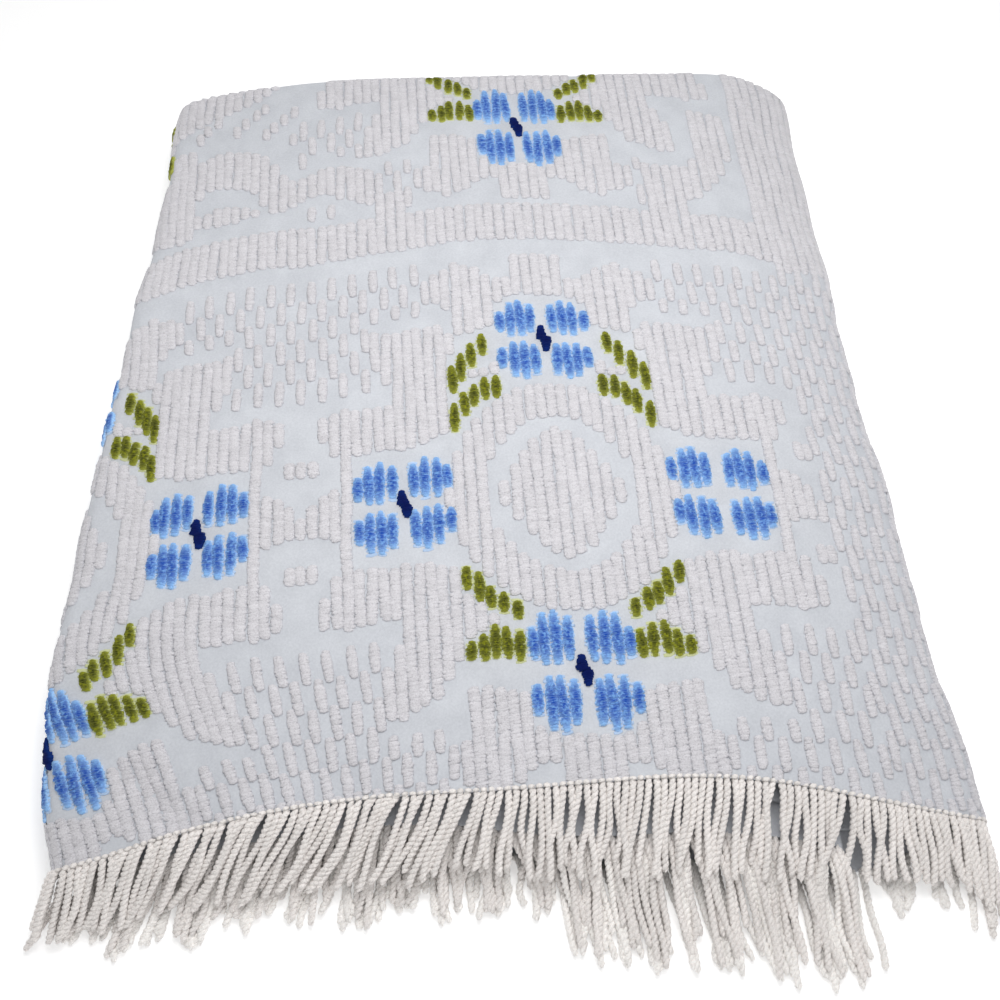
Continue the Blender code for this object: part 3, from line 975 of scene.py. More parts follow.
def grow(obj, tree, **values):
    """Runs a tree of geometry nodes on an object, and keeps what it makes as a plain mesh."""
    modifier = obj.modifiers.new(tree.name, "NODES")
    modifier.node_group = tree
    for item in tree.interface.items_tree:
        if item.in_out == "INPUT" and plain(item.name) in values:
            modifier[item.identifier] = values[plain(item.name)]
    graph = bpy.context.evaluated_depsgraph_get()
    grown = bpy.data.meshes.new_from_object(obj.evaluated_get(graph))
    obj.modifiers.clear()
    obj.data = grown
    grown.name = obj.name
    print(obj.name, "triangles:", sum(len(face.vertices) - 2 for face in grown.polygons))
    return obj


def store(mesh, name, values):
    """Writes a number or a vector on every point of a mesh."""
    values = np.asarray(values, np.float32)
    kind, field = ("FLOAT", "value") if values.ndim == 1 else ("FLOAT_VECTOR", "vector")
    mesh.attributes.new(name, kind, "POINT").data.foreach_set(field, values.ravel())


# %% [markdown]
# ### One tuft
#
# A tuft is a bunch of clipped cotton ends that spreads into a low dome. Hair would show every end
# and be far too heavy, so each tuft is a dome of a few faces, and its finish gives it its nap. Five
# uneven domes, turned and scaled at random, are enough for a row to look hand-made.

# %% One tuft
TUFT_OUTLINE = ((0.5, -0.26), (0.5, 0.26), (0.0, 0.5), (-0.5, 0.26), (-0.5, -0.26), (0.0, -0.5))
TUFT_SIDES = len(TUFT_OUTLINE)
TUFT_RINGS = ((-0.30, 1.0), (0.40, 0.98), (0.84, 0.76))  # height and width
TUFT_SHAPES = 5
TUFT_WIDTHS, TOP_ASIDE = (0.93, 1.05), 0.08


def tuft_shape(name, seed):
    """A low dome of clipped yarn, one unit across, along and high, that knows its pile."""
    rng = random.Random(seed)
    points, pile = [], []
    for level, spread in TUFT_RINGS:
        for across, along in TUFT_OUTLINE:
            wide = spread * rng.uniform(*TUFT_WIDTHS)
            points.append((wide * across, wide * along, level))
            pile.append(max(level, 0.0))
    points.append((*(rng.uniform(-TOP_ASIDE, TOP_ASIDE) for _ in "xy"), 1.0))
    pile.append(1.0)
    faces, top = [], len(points) - 1
    for corner in range(TUFT_SIDES):
        after = (corner + 1) % TUFT_SIDES
        for a in range(0, top - TUFT_SIDES, TUFT_SIDES):
            b = a + TUFT_SIDES
            faces.append((a + corner, a + after, b + after, b + corner))
        faces.append((top - TUFT_SIDES + corner, top - TUFT_SIDES + after, top))
    obj = new_object(name, points, faces)
    store(obj.data, "pile", pile)
    obj.data.shade_smooth()
    return obj


def tuft_collection():
    group = bpy.data.collections.new("tuft shapes")
    for seed in range(TUFT_SHAPES):
        shape = tuft_shape(f"tuft shape {seed}", seed)
        bpy.context.scene.collection.objects.unlink(shape)
        group.objects.link(shape)
    return group


tuft_shapes = tuft_collection()

# %% [markdown]
# ### Setting the tufts
#
# A row is sewn tuft by tuft, and no two come out the same. Python could copy the domes one by one,
# but that is slow. A tree of geometry nodes sets one on every point instead, turned to its row,
# twisted and stretched a little by chance, and marks it with a shade of its own.

# %% The tree that sets the tufts
TUFT_TWIST = (0.05, 0.08, 0.20)  # radians, at most


def tuft_tree():
    """Stands a tuft on every point, turned to its row, and gives each one its own shade."""
    nodes = geometry_tree(
        "rows of tufts",
        ("Shapes", "NodeSocketCollection"),
        ("Seed", "NodeSocketInt", 1),
        ("Unevenness", "NodeSocketFloat", 0.14),
    )
    seed, uneven = nodes.start["Seed"], nodes.start["Unevenness"]

    def chance(kind, **range_of):
        inputs = {**{name.capitalize(): value for name, value in range_of.items()}, "Seed": seed}
        return nodes.add("FunctionNodeRandomValue", inputs, data_type=kind)

    shapes = nodes.add(
        "GeometryNodeCollectionInfo",
        {"Collection": nodes.start["Shapes"], "Separate Children": True, "Reset Children": True},
    )
    up, along = nodes.named("up", "FLOAT_VECTOR"), nodes.named("along", "FLOAT_VECTOR")
    turned = nodes.add(
        "FunctionNodeAxesToRotation",
        {"Primary Axis": up, "Secondary Axis": along},
        primary_axis="Z",
        secondary_axis="Y",
    )
    twist = chance("FLOAT_VECTOR", min=[-turn for turn in TUFT_TWIST], max=TUFT_TWIST)
    twisted = nodes.add(
        "FunctionNodeRotateRotation",
        {"Rotation": turned.outputs[0], "Rotate By": twist.outputs[0]},
        rotation_space="LOCAL",
    )
    least, most = nodes.math("SUBTRACT", 1.0, uneven), nodes.math("ADD", 1.0, uneven)
    share = chance("FLOAT_VECTOR", min=least, max=most).outputs[0]
    pick = chance("INT")
    pick.inputs[4].default_value, pick.inputs[5].default_value = 0, TUFT_SHAPES - 1
    placed = nodes.add(
        "GeometryNodeInstanceOnPoints",
        {
            "Points": nodes.start["Geometry"],
            "Instance": shapes.outputs[0],
            "Pick Instance": True,
            "Instance Index": pick.outputs[2],
            "Rotation": twisted.outputs[0],
            "Scale": nodes.vector("MULTIPLY", nodes.named("size", "FLOAT_VECTOR"), share),
        },
    )
    marked = nodes.add(
        "GeometryNodeStoreNamedAttribute",
        {"Geometry": placed.outputs[0], "Name": "shade", "Value": chance("FLOAT").outputs[1]},
        data_type="FLOAT",
        domain="INSTANCE",
    )
    return nodes.finish(marked.outputs[0])


def bare_points(name, feet, alongs, ups, sizes, edges):
    """A mesh of points only, with the frame and the size of each tuft as attributes."""
    obj = new_object(name, feet, [])
    values = {"along": alongs, "up": ups, "size": sizes, "edge": edges}
    for attribute, value in values.items():
        store(obj.data, attribute, value)
    return obj


rows_of_tufts = tuft_tree()
print("tree:", rows_of_tufts.name, "with", len(rows_of_tufts.nodes), "nodes")

# %% [markdown]
# ## Finishes
#
# Cotton is matt, and cut yarn is never even: it is flecked, its tone drifts, and down in the pile
# it has another colour. White yarn is painted darker there, as painted shade between the tufts.
# Dyed yarn is paler, because the dye stayed near the tips and in the middle of a row. A texture of
# yarn would smear over the small tufts, so a shader group works the colour out from what the tufts
# carry, and each material gives it its dyes.

# %% A material
def srgb(*values):
    """A colour from its red, green and blue on a screen, each 0 to 255."""
    linear = (((v / 255 + 0.055) / 1.055) ** 2.4 if v > 10 else v / 3294 for v in values)
    return (*linear, 1.0)


class Finish(Nodes):
    """A material, written with the same helper as the trees."""

    def __init__(self, name, roughness, sheen=0.0):
        self.material = bpy.data.materials.new(name)
        self.material.use_nodes = True
        super().__init__(self.material.node_tree)
        self.set("Roughness", roughness)
        self.set("Sheen Weight", sheen)
        self.set("Sheen Roughness", 0.6)
        self.set("Specular IOR Level", 0.15)

    def set(self, name, value):
        self.put(value, self.tree.nodes["Principled BSDF"].inputs[name])

    def attribute(self, name):
        return self.add("ShaderNodeAttribute", attribute_name=name).outputs["Fac"]

    def place(self):
        return self.add("ShaderNodeTexCoord").outputs["Object"]

    def raise_by(self, height, strength, distance):
        """Lets a height stand out in the light."""
        inputs = {"Strength": strength, "Distance": distance, "Height": height}
        self.set("Normal", self.add("ShaderNodeBump", inputs).outputs[0])


# %% The colour of yarn
FLECKS = (0.48, 0.68)  # the grain below the first is plain, and above the second all fleck
DRIFT_SCALE = 28.0
TIP_START = 0.98  # of the height of the pile
TONE, LEAST_TONE = 0.10, 0.90


def yarn_colour_group():
    """Flecks, a slow drift of tone, and the way from the foot of the pile up to its tips. A paler
    foot is dye, a darker foot is painted shade.
    """
    nodes = Nodes(
        bpy.data.node_groups.new("yarn colour", "ShaderNodeTree"),
        inputs=(
            ("Place", "NodeSocketVector"),
            ("Tip", "NodeSocketColor"),
            ("Foot", "NodeSocketColor"),
            ("Fleck", "NodeSocketColor"),
            ("Pile", "NodeSocketFloat", 1.0),
            ("Shade", "NodeSocketFloat", 0.5),
            ("Core", "NodeSocketFloat", 0.3),
            ("Fleck size", "NodeSocketFloat", 950.0),
            ("Fleck share", "NodeSocketFloat", 0.3),
        ),
        outputs=(("Color", "NodeSocketColor"), ("Grain", "NodeSocketFloat")),
    )
    start = nodes.start
    grain = nodes.noise(start["Place"], start["Fleck size"], roughness=0.6)
    drift = nodes.noise(start["Place"], DRIFT_SCALE)
    # From foot to tip. Where the foot is darker (white yarn, the knots) it is painted shade down in
    # the pile.
    height = nodes.ramp(start["Pile"], start["Core"], TIP_START)
    share = nodes.math("MULTIPLY", nodes.ramp(grain, *FLECKS), start["Fleck share"])
    flecked = nodes.blend(share, nodes.blend(height, start["Foot"], start["Tip"]), start["Fleck"])
    uneven = nodes.math("ADD", start["Shade"], drift)
    tone = nodes.math("MULTIPLY_ADD", uneven, TONE, LEAST_TONE)
    toned = nodes.add("ShaderNodeHueSaturation", {"Value": tone, "Color": flecked}).outputs[0]
    nodes.put(toned, nodes.end.inputs["Color"])
    nodes.put(grain, nodes.end.inputs["Grain"])
    return nodes.tree


yarn_colour = yarn_colour_group()
YARN_ROUGHNESS, YARN_SHEEN, GRAIN_HEIGHT = 0.95, 0.2, 0.0009


def yarn_finish(name, tip, foot, fleck, edge=None, bump=0.6, **settings):
    """Yarn with these colours: a foot darker than the tip is painted shade, a paler one is dye. The
    edge is the colour at the end of a row.
    """
    finish = Finish(name, YARN_ROUGHNESS, sheen=0.0 if edge else YARN_SHEEN)
    tip = srgb(*tip)
    if edge:
        tip = finish.blend(finish.attribute("edge"), tip, srgb(*edge))
    values = {"Place": finish.place(), "Tip": tip, "Foot": srgb(*foot), "Fleck": srgb(*fleck)}
    for socket in ("Pile", "Shade"):
        values[socket] = finish.attribute(socket.lower())
    for setting, value in settings.items():
        values[setting.replace("_", " ").capitalize()] = value
    yarn = finish.add("ShaderNodeGroup", values, node_tree=yarn_colour).outputs
    finish.set("Base Color", yarn["Color"])
    finish.raise_by(yarn["Grain"], bump, GRAIN_HEIGHT)
    return finish.material


print("sockets of the yarn colour:", [item.name for item in yarn_colour.interface.items_tree])

# %% [markdown]
# ### The ground cloth
#
# Between the rows the cloth shows: plain-woven cotton in an icy blue, worn a little uneven. Its
# threads are far too fine to model. Two sine waves on the UV map make the weave instead, in metres,
# so it keeps its size and direction on every layer, and two noises make the mottle and the slubs.

# %% The finish of the cloth
THREADS = (0.00062, 0.00055)  # from thread to thread, across and along
MOTTLE_SCALE, SLUB_SCALE = 45.0, 700.0
MOTTLE_RISE, WEAVE_RISE, CLOTH_RISE = 3.0, 0.25, 0.0004
CLOTH_TONES = (172, 175, 182), (221, 224, 229)


def cloth_finish():
    finish = Finish("ground_cloth", roughness=0.92, sheen=0.1)
    uv = finish.add("ShaderNodeUVMap", uv_map="cloth").outputs[0]
    ways = finish.add("ShaderNodeSeparateXYZ", {0: uv}).outputs
    waves = [
        finish.math("SINE", finish.math("MULTIPLY", ways[axis], math.tau / pitch))
        for axis, pitch in enumerate(THREADS)
    ]
    weave = finish.math("MULTIPLY", *waves)
    place = finish.place()
    mottle = finish.noise(place, MOTTLE_SCALE, detail=3.0)
    slub = finish.noise(place, SLUB_SCALE)
    share = finish.math("MULTIPLY", finish.math("ADD", mottle, slub), 0.5)
    finish.set("Base Color", finish.blend(share, *(srgb(*tone) for tone in CLOTH_TONES)))
    hills = finish.math("MULTIPLY", mottle, MOTTLE_RISE)
    height = finish.math("MULTIPLY_ADD", weave, WEAVE_RISE, hills)
    finish.raise_by(height, 0.5, CLOTH_RISE)
    return finish.material


cloth.data.materials.append(cloth_finish())
print("finish of the cloth:", cloth.data.materials[0].name)

# %% [markdown]
# ### Sewing in the tufts
#
# Now the tree sets the tufts, yarn by yarn. Tufts of one colour could be one mesh, but the white
# ones would make it too heavy, so they come in four pieces. A row narrows and gets lower towards
# its ends, as clipped rows do.

# %% The yarns
YARNS = {
    # name: (kinds, colours of its tips, its foot and its flecks, what else)
    # The white foot is a little darker than its tip: painted shade down in the pile.
    "white": (
        (WHITE, LATTICE),
        ((213, 211, 215), (206, 206, 211), (178, 174, 179)),
        {"fleck_share": 0.6, "fleck_size": 1100.0, "bump": 0.9},
    ),
    "blue": (
        (BLUE,),
        ((0, 62, 160), (162, 200, 240), (138, 188, 238)),
        {"edge": (152, 194, 236), "fleck_share": 0.6, "fleck_size": 420.0, "core": 0.46},
    ),
    "azure": ((AZURE,), ((176, 198, 226), (180, 200, 226), (160, 188, 222)), {}),
    "green": (
        (GREEN,),
        ((44, 48, 0), (172, 176, 90), (148, 152, 30)),
        {"edge": (142, 146, 52), "fleck_share": 0.65, "fleck_size": 420.0, "core": 0.42},
    ),
    "lime": ((LIME,), ((194, 198, 150), (200, 205, 165), (180, 186, 120)), {}),
    "navy": ((NAVY,), ((0, 12, 74), (14, 46, 112), (0, 6, 50)), {"edge": (4, 36, 110)}),
}
TUFT_TRIANGLES = TUFT_SIDES * (2 * len(TUFT_RINGS) - 1)
LARGEST_PIECE = 190000  # triangles
CREASE_HEIGHT = 0.7  # of the pile, where a crease presses it
NARROWED = {"blue": 0.60, "green": 0.60}  # how much narrower the end of a row is
NARROWED_ELSE, LOWERED = 0.45, 0.25
FIRST_SEED = 7


def sew_in(name, which, finish):
    """All tufts of one yarn."""
    chosen = np.flatnonzero(np.isin(kinds, which))
    sizes = np.array([PILE[kind] for kind in kinds[chosen]])
    sizes *= 1 - ends[chosen][:, None] * (NARROWED.get(name, NARROWED_ELSE), 0.0, LOWERED)
    data = [foot[chosen], along[chosen], up[chosen], sizes, ends[chosen] ** 1.5]
    if name == "white":
        low = np.tile(PILE[WHITE], (len(crease_foot), 1)) * (1, 1, CREASE_HEIGHT)
        extra = (crease_foot, crease_along, crease_up, low, np.zeros(len(low)))
        data = [np.concatenate(pair) for pair in zip(data, extra)]
    count = math.ceil(len(data[0]) * TUFT_TRIANGLES / LARGEST_PIECE)
    uneven = 0.10 if name == "white" else 0.15
    pieces = []
    for number, part in enumerate(zip(*(np.array_split(values, count) for values in data))):
        points = bare_points(f"{name}_tufts" + (f"_{number + 1}" if count > 1 else ""), *part)
        settings = {"shapes": tuft_shapes, "seed": FIRST_SEED + number, "unevenness": uneven}
        pieces.append(grow(points, rows_of_tufts, finish=finish, **settings))
    return pieces


tufts = []
for name, (which, dyes, settings) in YARNS.items():
    tufts += sew_in(name, which, yarn_finish(f"{name}_tufts", *dyes, **settings))

# %% [markdown]
# ## The fringe
#
# A cut cotton fringe is sewn along the hem: strands of two twisted plies, which hang over the
# layers below and come to rest on the floor in bunches. They could be hair, but the twist would not
# show. So each strand is a guide line from the hem to its tip, with real plies laid round it.

# %% How the strands fall
STRAND_PITCH = 0.0048
STRAND_RADIUS = 0.0029
STRAND_CLEAR = 0.0002  # above the floor
DROPS = {
    # name: (part 1, height 1, part 2, height 2, height of the tip)
    "ground": (0.12, 0.0030, 0.55, 0.0030, 0.0030),
    "third": (0.14, 0.0235, 0.55, 0.0082, 0.0050),
    "second": (0.20, 0.0262, 0.60, 0.0125, 0.0066),
    "top": (0.12, 0.0500, 0.52, 0.0397, 0.0265),
}
TIPS_BACK = {"ground": -0.003, "third": 0.000, "second": 0.002, "top": 0.002}
TOP_FALL = (
    # x, lean, reach, height of the tip
    (-0.285, -0.020, 0.040, 0.012), (-0.240, -0.022, 0.039, 0.011), (-0.190, -0.029, 0.041, 0.012),
    (-0.120, -0.032, 0.044, 0.015), (-0.050, -0.028, 0.046, 0.021), (0.000, -0.017, 0.044, 0.026),
    (0.030, -0.007, 0.046, 0.026), (0.100, -0.008, 0.050, 0.025), (0.160, -0.012, 0.051, 0.025),
    (0.200, -0.009, 0.048, 0.024), (0.250, 0.002, 0.040, 0.018), (0.315, -0.002, 0.042, 0.013),
)
LOWER_LEAN = (
    # x, lean
    (-0.285, -0.020), (-0.200, -0.018), (-0.080, -0.010), (0.000, 0.000), (0.060, 0.004),
    (0.140, 0.006), (0.200, 0.005), (0.250, 0.000), (0.315, 0.000),
)
BUNCHES = (
    # x of the middle of the tips, half their width, y of the tips
    (-0.278, 0.013, 0.045), (-0.254, 0.015, 0.048), (-0.230, 0.009, 0.038), (-0.215, 0.010, 0.043),
    (-0.186, 0.010, 0.040), (-0.164, 0.012, 0.049), (-0.151, 0.012, 0.047), (-0.124, 0.007, 0.051),
    (-0.117, 0.009, 0.043), (-0.095, 0.017, 0.042), (-0.078, 0.010, 0.041), (-0.057, 0.009, 0.050),
    (-0.035, 0.017, 0.041), (-0.005, 0.016, 0.040), (0.028, 0.010, 0.040), (0.052, 0.006, 0.016),
    (0.066, 0.007, 0.010), (0.081, 0.006, 0.008), (0.099, 0.005, 0.002), (0.120, 0.002, 0.000),
    (0.143, 0.010, -0.003), (0.169, 0.007, -0.010), (0.180, 0.005, -0.013), (0.202, 0.008, -0.014),
    (0.220, 0.005, -0.015), (0.254, 0.004, 0.022), (0.279, 0.004, 0.022), (0.295, 0.002, 0.005),
    (0.303, 0.005, 0.002),
)
STRAY_SHARE, STRAY_TIPS = 0.3, (0.004, 0.016)  # strands outside a bunch, how far back they end
# How much the strands differ: at most, or from and to.
GROUP_LEAN, WAVE, TIP_RAISED = 0.0026, 0.0025, 0.0022
REACHES, CURLS, CURL_TURNS = (0.88, 1.10), (0.0008, 0.0030), (3, 8)
TOP_BENDS, LOWER_BENDS = (0.75, 1.5), (0.7, 1.0)
SEWN_BACK = 0.0012  # from the hem to where a strand starts
LEAST_REACH = 0.014
TOP_DROP, TOP_HELD = 0.0006, 0.55  # how far the first part drops, and how high the second is held
GROUPS = (1, 2, 2, 3)  # strands that lean together
OUT_OF_BUNCH = 0.2  # how much the middle of a bunch still draws a strand that is inside it
STRAY_NEAR, STRAY_HALF = 0.010, 0.002
TIPS_ROUND, TIPS_UNEVEN = 0.008, 0.0040  # how far back the tips lie at the sides, and by chance
top_lean, top_reach, top_tip = curves(TOP_FALL)
lower_lean = curve(LOWER_LEAN)
guide_parts = np.linspace(0, 1, 14)
print("bunches of tips:", len(BUNCHES), "points of a guide:", len(guide_parts))


# %% Where the strands are sewn on
def strand_places():
    """The stations of the strands, evenly spaced along the hem."""
    middle = lay(band.number, front_ends[0], OUTER_LEVEL)
    way = np.concatenate([[0.0], np.cumsum(np.linalg.norm(np.diff(middle, axis=0), axis=1))])
    count = int(way[-1] / STRAND_PITCH)
    return np.interp((np.arange(count) + 0.5) / count * way[-1], way, band.number)


def panel_at(place):
    """The panel that a place on the hem belongs to, the next one, and how far it is towards it."""
    station = int(math.ceil(place))
    panel, other, share = band.panels[station]
    if share:
        before = band.panels[station - 1]
        earlier = before[2] if before[1] == other and before[2] < 1 else 0.0
        share = mix(earlier, share, 1 - (station - place))
    return panel, other, share


strands = [(place, *panel_at(place)) for place in strand_places()]
upper = [strand for strand in strands if strand[1] in ("top", "second") or strand[2] == "top"]
lower = [strand for strand in strands if strand not in upper]
print("strands:", len(upper), "+", len(lower))

# %% [markdown]
# ### The fall of a strand
#
# Strands of the top panel lean together in small groups. Those of the lower panels run forward to
# the nearest bunch of tips. Each strand has its own curl, wave and reach, drawn from a fixed seed.
# Four heights along it, out of the table of drops, lay it over the hem below and down to the floor.

# %% Guides of the strands
def nearest_bunch(x):
    """The middle, the half width and the Y of the bunch of tips that is nearest."""

    def away(bunch):
        off = abs(x - bunch[0])
        return max(off - bunch[1], 0) + OUT_OF_BUNCH * off

    return min(BUNCHES, key=away)


def reach_for_the_floor(x, y, panel, rng):
    """The lean and the reach of a strand of a lower panel."""
    wanted = x + float(lower_lean(x))
    middle, half, tip_y = nearest_bunch(wanted)
    aside = rng.uniform(-1, 1)
    if rng.random() < STRAY_SHARE and abs(wanted - middle) < half + STRAY_NEAR:
        middle, half, tip_y = wanted, STRAY_HALF, tip_y + rng.uniform(*STRAY_TIPS)
    tip_y = tip_y + TIPS_BACK[panel] + TIPS_ROUND * abs(aside) ** 1.5
    tip_y = tip_y + abs(rng.gauss(0, TIPS_UNEVEN))
    return middle + half * aside - x, max(y - tip_y, LEAST_REACH)


def strand_guide(place, panel, other, share, group, rng):
    """The middle line of one strand, from the hem to its tip."""
    y = float(band.read(front_ends[0], place))
    out_x, out_z = (band.read(out, place) * OUTER_LEVEL for out in (band.out_x, band.out_z))
    x = float(band.x_at(place, float(left_edge(FRONT_LINE))) + out_x)
    z = float(band.read(band.z, place) + out_z)
    on_top = mix(float(panel == "top"), float(other == "top"), share)
    drops = (mix(a, b, share) for a, b in zip(DROPS[panel], DROPS[other]))
    part1, height1, part2, height2, tip = drops
    lean, reach = reach_for_the_floor(x, y, other if share > 0.5 else panel, rng)
    lean = mix(lean, float(top_lean(x)) + group, on_top)
    reach = mix(reach, float(top_reach(x)) * rng.uniform(*REACHES), on_top)
    if on_top:
        tip = mix(tip, float(top_tip(x)), on_top)
        height1 = mix(height1, z - TOP_DROP, on_top)
        height2 = mix(height2, mix(tip, z, TOP_HELD), on_top)
    tip += rng.uniform(0, TIP_RAISED)
    height1, height2 = min(height1, z + 0.001), max(min(height2, z), tip)
    heights = curve(((0.0, z), (part1, height1), (part2, height2), (1.0, tip)))(guide_parts)
    phase, size = rng.uniform(0, math.tau), rng.uniform(*CURLS)
    curl = size * np.sin(phase + guide_parts * rng.uniform(*CURL_TURNS)) * guide_parts**0.7
    wave = rng.uniform(-WAVE, WAVE) * np.sin(phase + guide_parts * 5) * guide_parts
    bend = rng.uniform(*(TOP_BENDS if on_top > 0.5 else LOWER_BENDS))
    forward = y + SEWN_BACK - (reach + SEWN_BACK) * guide_parts + wave
    points = settle(x + lean * guide_parts**bend + curl, forward, heights)
    points[:, 2] = np.maximum(points[:, 2], STRAND_RADIUS + STRAND_CLEAR)
    return points


print("height of the first guide:", strand_guide(*strands[0], 0.0, random.Random(1))[:, 2].max())

# %% [markdown]
# ### Two plies
#
# Close up, a strand shows its twist. A texture of twisted yarn would need a UV map on every strand,
# so the tree winds two real plies round the guide. They close in at both ends, where the yarn is
# sewn on and cut.

# %% The tree that twists the strands
PLY_CLOSES = (0.035, 0.45)  # part of the length, and share of the thickness that is left


def strand_tree():
    """Lays two plies round every guide, twisted like the real cord."""
    nodes = geometry_tree(
        "twisted strands",
        ("Ring Step", "NodeSocketFloat", 0.0012),
        ("Twist Pitch", "NodeSocketFloat", 0.0074),
        ("Ply Radius", "NodeSocketFloat", 0.00150),
        ("Ply Offset", "NodeSocketFloat", 0.00104),
        ("Sides", "NodeSocketInt", 6),
    )
    start = nodes.start
    lines = nodes.add("GeometryNodeMeshToCurve", {"Mesh": start["Geometry"]}).outputs[0]
    rings = {"Curve": lines, "Length": start["Ring Step"]}
    resampled = nodes.add("GeometryNodeResampleCurve", rings, mode="LENGTH").outputs[0]
    along = nodes.add("GeometryNodeSplineParameter").outputs
    turn = nodes.math("DIVIDE", along["Length"], start["Twist Pitch"])
    turn = nodes.math("ADD", nodes.math("MULTIPLY", turn, math.tau), nodes.named("phase"))
    normal = nodes.add("GeometryNodeInputNormal").outputs[0]
    tangent = nodes.add("GeometryNodeInputTangent").outputs[0]
    side = nodes.vector("CROSS_PRODUCT", tangent, normal)
    to_end = nodes.math("SUBTRACT", 1.0, along["Factor"])
    from_end = nodes.math("MINIMUM", along["Factor"], to_end)
    part, left = PLY_CLOSES
    full = nodes.ramp(from_end, 0.0, part, left, 1.0, interpolation_type="SMOOTHSTEP")
    round_ply = {"Resolution": start["Sides"], "Radius": start["Ply Radius"]}
    profile = nodes.add("GeometryNodeCurvePrimitiveCircle", round_ply).outputs[0]
    plies = nodes.add("GeometryNodeJoinGeometry")
    reach = nodes.math("MULTIPLY", start["Ply Offset"], full)
    for ply in (0, 1):
        angle = nodes.math("ADD", turn, ply * math.pi)
        out = nodes.scaled(normal, nodes.math("MULTIPLY", reach, nodes.math("COSINE", angle)))
        over = nodes.scaled(side, nodes.math("MULTIPLY", reach, nodes.math("SINE", angle)))
        offset = {"Geometry": resampled, "Offset": nodes.vector("ADD", out, over)}
        moved = nodes.add("GeometryNodeSetPosition", offset).outputs[0]
        yarn = {"Curve": moved, "Profile Curve": profile, "Scale": full, "Fill Caps": True}
        nodes.put(nodes.add("GeometryNodeCurveToMesh", yarn).outputs[0], plies.inputs[0])
    smooth = nodes.add("GeometryNodeSetShadeSmooth", {"Geometry": plies.outputs[0]})
    return nodes.finish(smooth.outputs[0])


twisted = strand_tree()
print("tree:", twisted.name, "with", len(twisted.nodes), "nodes")

# %% Growing the fringe
FRINGE_YARNS = {
    # Tip, foot and fleck. The darker foot is painted shade; only the knots show it, as strands are
    # all tip.
    "fringe_cotton": ((242, 237, 234), (206, 201, 197), (196, 190, 184)),
    # The lower strands are the same cotton painted paler: painted light that the white floor throws
    # on them.
    "pale_fringe_cotton": ((254, 251, 248), (228, 223, 218), (222, 216, 210)),
}


def make_strands(name, strands, finish, seed):
    rng = random.Random(seed)
    guides, group, left_in_group = [], 0.0, 0
    for strand in strands:
        if left_in_group == 0:
            left_in_group, group = rng.choice(GROUPS), rng.gauss(0, GROUP_LEAN)
        left_in_group -= 1
        guides.append(strand_guide(*strand, group + rng.gauss(0, GROUP_LEAN), rng))
    step = len(guide_parts)
    edges = [(g * step + i, g * step + i + 1) for g in range(len(guides)) for i in range(step - 1)]
    obj = new_object(name, np.concatenate(guides), [], edges)
    for attribute, high in (("phase", math.tau), ("shade", 1.0)):
        store(obj.data, attribute, np.repeat([rng.uniform(0.0, high) for _ in guides], step))
    store(obj.data, "pile", np.ones(len(guides) * step))
    return grow(obj, twisted, finish=finish)


# The pale finish of the lower strands is painted light from the floor; the upper strands and the
# knots keep the plain one.
upper_fringe_finish, pale = (
    yarn_finish(name, *dyes, fleck_share=0.5, fleck_size=900.0, bump=1.0)
    for name, dyes in FRINGE_YARNS.items()
)
half_up, half_low = len(upper) // 2, len(lower) // 2
fringe = [
    make_strands("upper_fringe_right", upper[:half_up], upper_fringe_finish, 11),
    make_strands("upper_fringe_left", upper[half_up:], upper_fringe_finish, 13),
    make_strands("lower_fringe_right", lower[:half_low], pale, 12),
    make_strands("lower_fringe_left", lower[half_low:], pale, 14),
]

# %% [markdown]
# ### The knots
#
# Each strand is looped through the hem and pulled tight, which leaves a small knot over it. A real
# loop is too small to see, so a short thick tuft stands for each, grown by the same tree.

# %% Knots along the hem
KNOT = (0.0044, 0.0030, 0.0022)  # across, along and high
KNOT_SETBACK = 0.0010


def make_knots():
    places = np.array([strand[0] for strand in strands])
    hems = np.interp(places, band.number, front_ends[0]) + KNOT_SETBACK
    feet, alongs, ups = tuft_frame(places, hems, OUTER_FACE)
    clear = feet[:, 2] + TALLEST * np.minimum(ups[:, 2], 0) > STRAND_CLEAR
    sizes, edges = np.tile(KNOT, (clear.sum(), 1)), np.zeros(clear.sum())
    points = bare_points("hem_knots", feet[clear], alongs[clear], ups[clear], sizes, edges)
    # The knots take the upper fringe's finish; their darker foot is painted shade at the base of
    # each knot.
    settings = {"shapes": tuft_shapes, "finish": upper_fringe_finish, "seed": 31, "unevenness": 0.16}
    return grow(points, rows_of_tufts, **settings)


knots = make_knots()

# %% [markdown]
# ## The floor and the light
#
# The floor is one large pale sheet that glows a little, as paper does in a bright studio. A strong
# lamp could light it all, but then the rows would throw hard shadows. So most of the light comes
# from the pale world, and the lamp close above only draws the rows.

# %% The floor
FLOOR_SIZE, FLOOR_GLOW, FLOOR_GREYS = 12.0, 0.25, (0.96, 0.98)


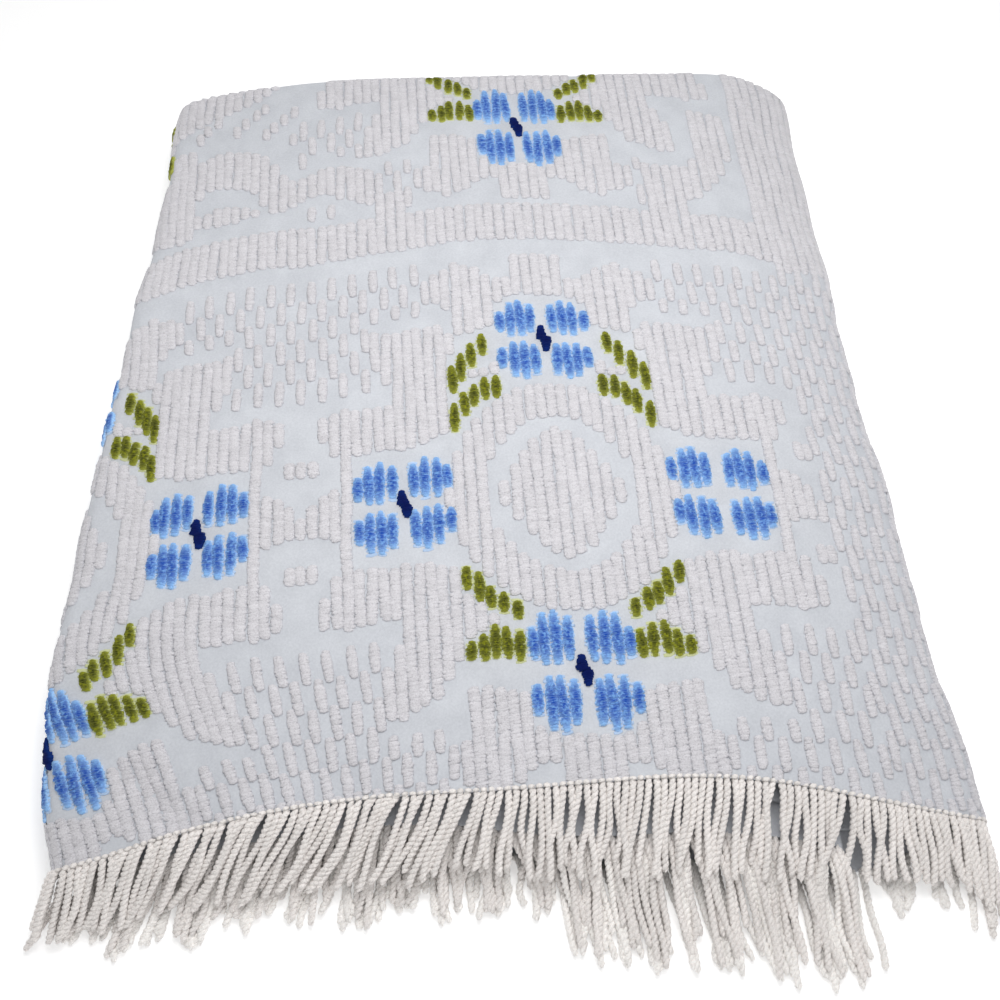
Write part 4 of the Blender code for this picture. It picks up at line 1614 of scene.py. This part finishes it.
def make_floor():
    corners = [(x * FLOOR_SIZE, y * FLOOR_SIZE, 0) for x, y in ((-1, -1), (1, -1), (1, 1), (-1, 1))]
    floor = new_object("floor", corners, [(0, 1, 2, 3)])
    finish = Finish("floor_paper", roughness=0.9)
    finish.set("Emission Color", (1.0, 1.0, 1.0, 1.0))
    finish.set("Emission Strength", FLOOR_GLOW)
    noise = finish.add("ShaderNodeTexNoise", {"Scale": 3.0}).outputs["Fac"]
    tones = [(grey, grey, grey, 1.0) for grey in FLOOR_GREYS]
    finish.set("Base Color", finish.blend(noise, *tones))
    floor.data.materials.append(finish.material)
    return floor


floor = make_floor()
print("floor:", [round(side, 1) for side in floor.dimensions])


# %% The light
SKY = (0.20, 0.45, 1.0, 0.43)  # from this height to this one, it goes from this light to this one


def make_lamp(name, place, aim, power, size):
    data = bpy.data.lights.new(name, "AREA")
    data.energy, data.size = power, size
    lamp = put_in_scene(name, data)
    lamp.location = place
    lamp.rotation_euler = (Vector(aim) - Vector(place)).to_track_quat("-Z", "Y").to_euler()


def make_sky():
    """Soft white walls all round, and a dimmer ceiling."""
    world = bpy.data.worlds.new("studio")
    world.use_nodes = True
    nodes = Nodes(world.node_tree)
    toward = nodes.add("ShaderNodeTexCoord").outputs["Generated"]
    height = nodes.add("ShaderNodeSeparateXYZ", {0: toward}).outputs["Z"]
    background = world.node_tree.nodes["Background"].inputs
    nodes.put((1.0, 1.0, 1.0, 1.0), background["Color"])
    nodes.put(nodes.ramp(height, *SKY), background["Strength"])
    return world


make_lamp("key", (0.06, 0.07, 0.78), (0.04, 0.04, 0), 4.3, 0.45)
make_lamp("fill", (0.5, -0.8, 1.5), (0, 0, 0), 3, 1.2)
bpy.context.scene.world = make_sky()
bpy.context.scene.view_settings.view_transform = "Standard"
print("lamps:", sorted(light.name for light in bpy.data.lights))

# %% [markdown]
# ## Joining the pieces to the solids
#
# Last, the frame has to know which piece belongs to which solid. The cloth takes the place of the
# solid bedspread, and the first strands that of the solid fringe. Everything rides on the one body
# there is.

# %% Joining the pieces
for shape in list(tuft_shapes.objects):
    bpy.data.objects.remove(shape)
bpy.data.collections.remove(tuft_shapes)
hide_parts("bedspread")
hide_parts("fringe")
for piece in [cloth, knots] + fringe + tufts:
    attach(piece, "root")
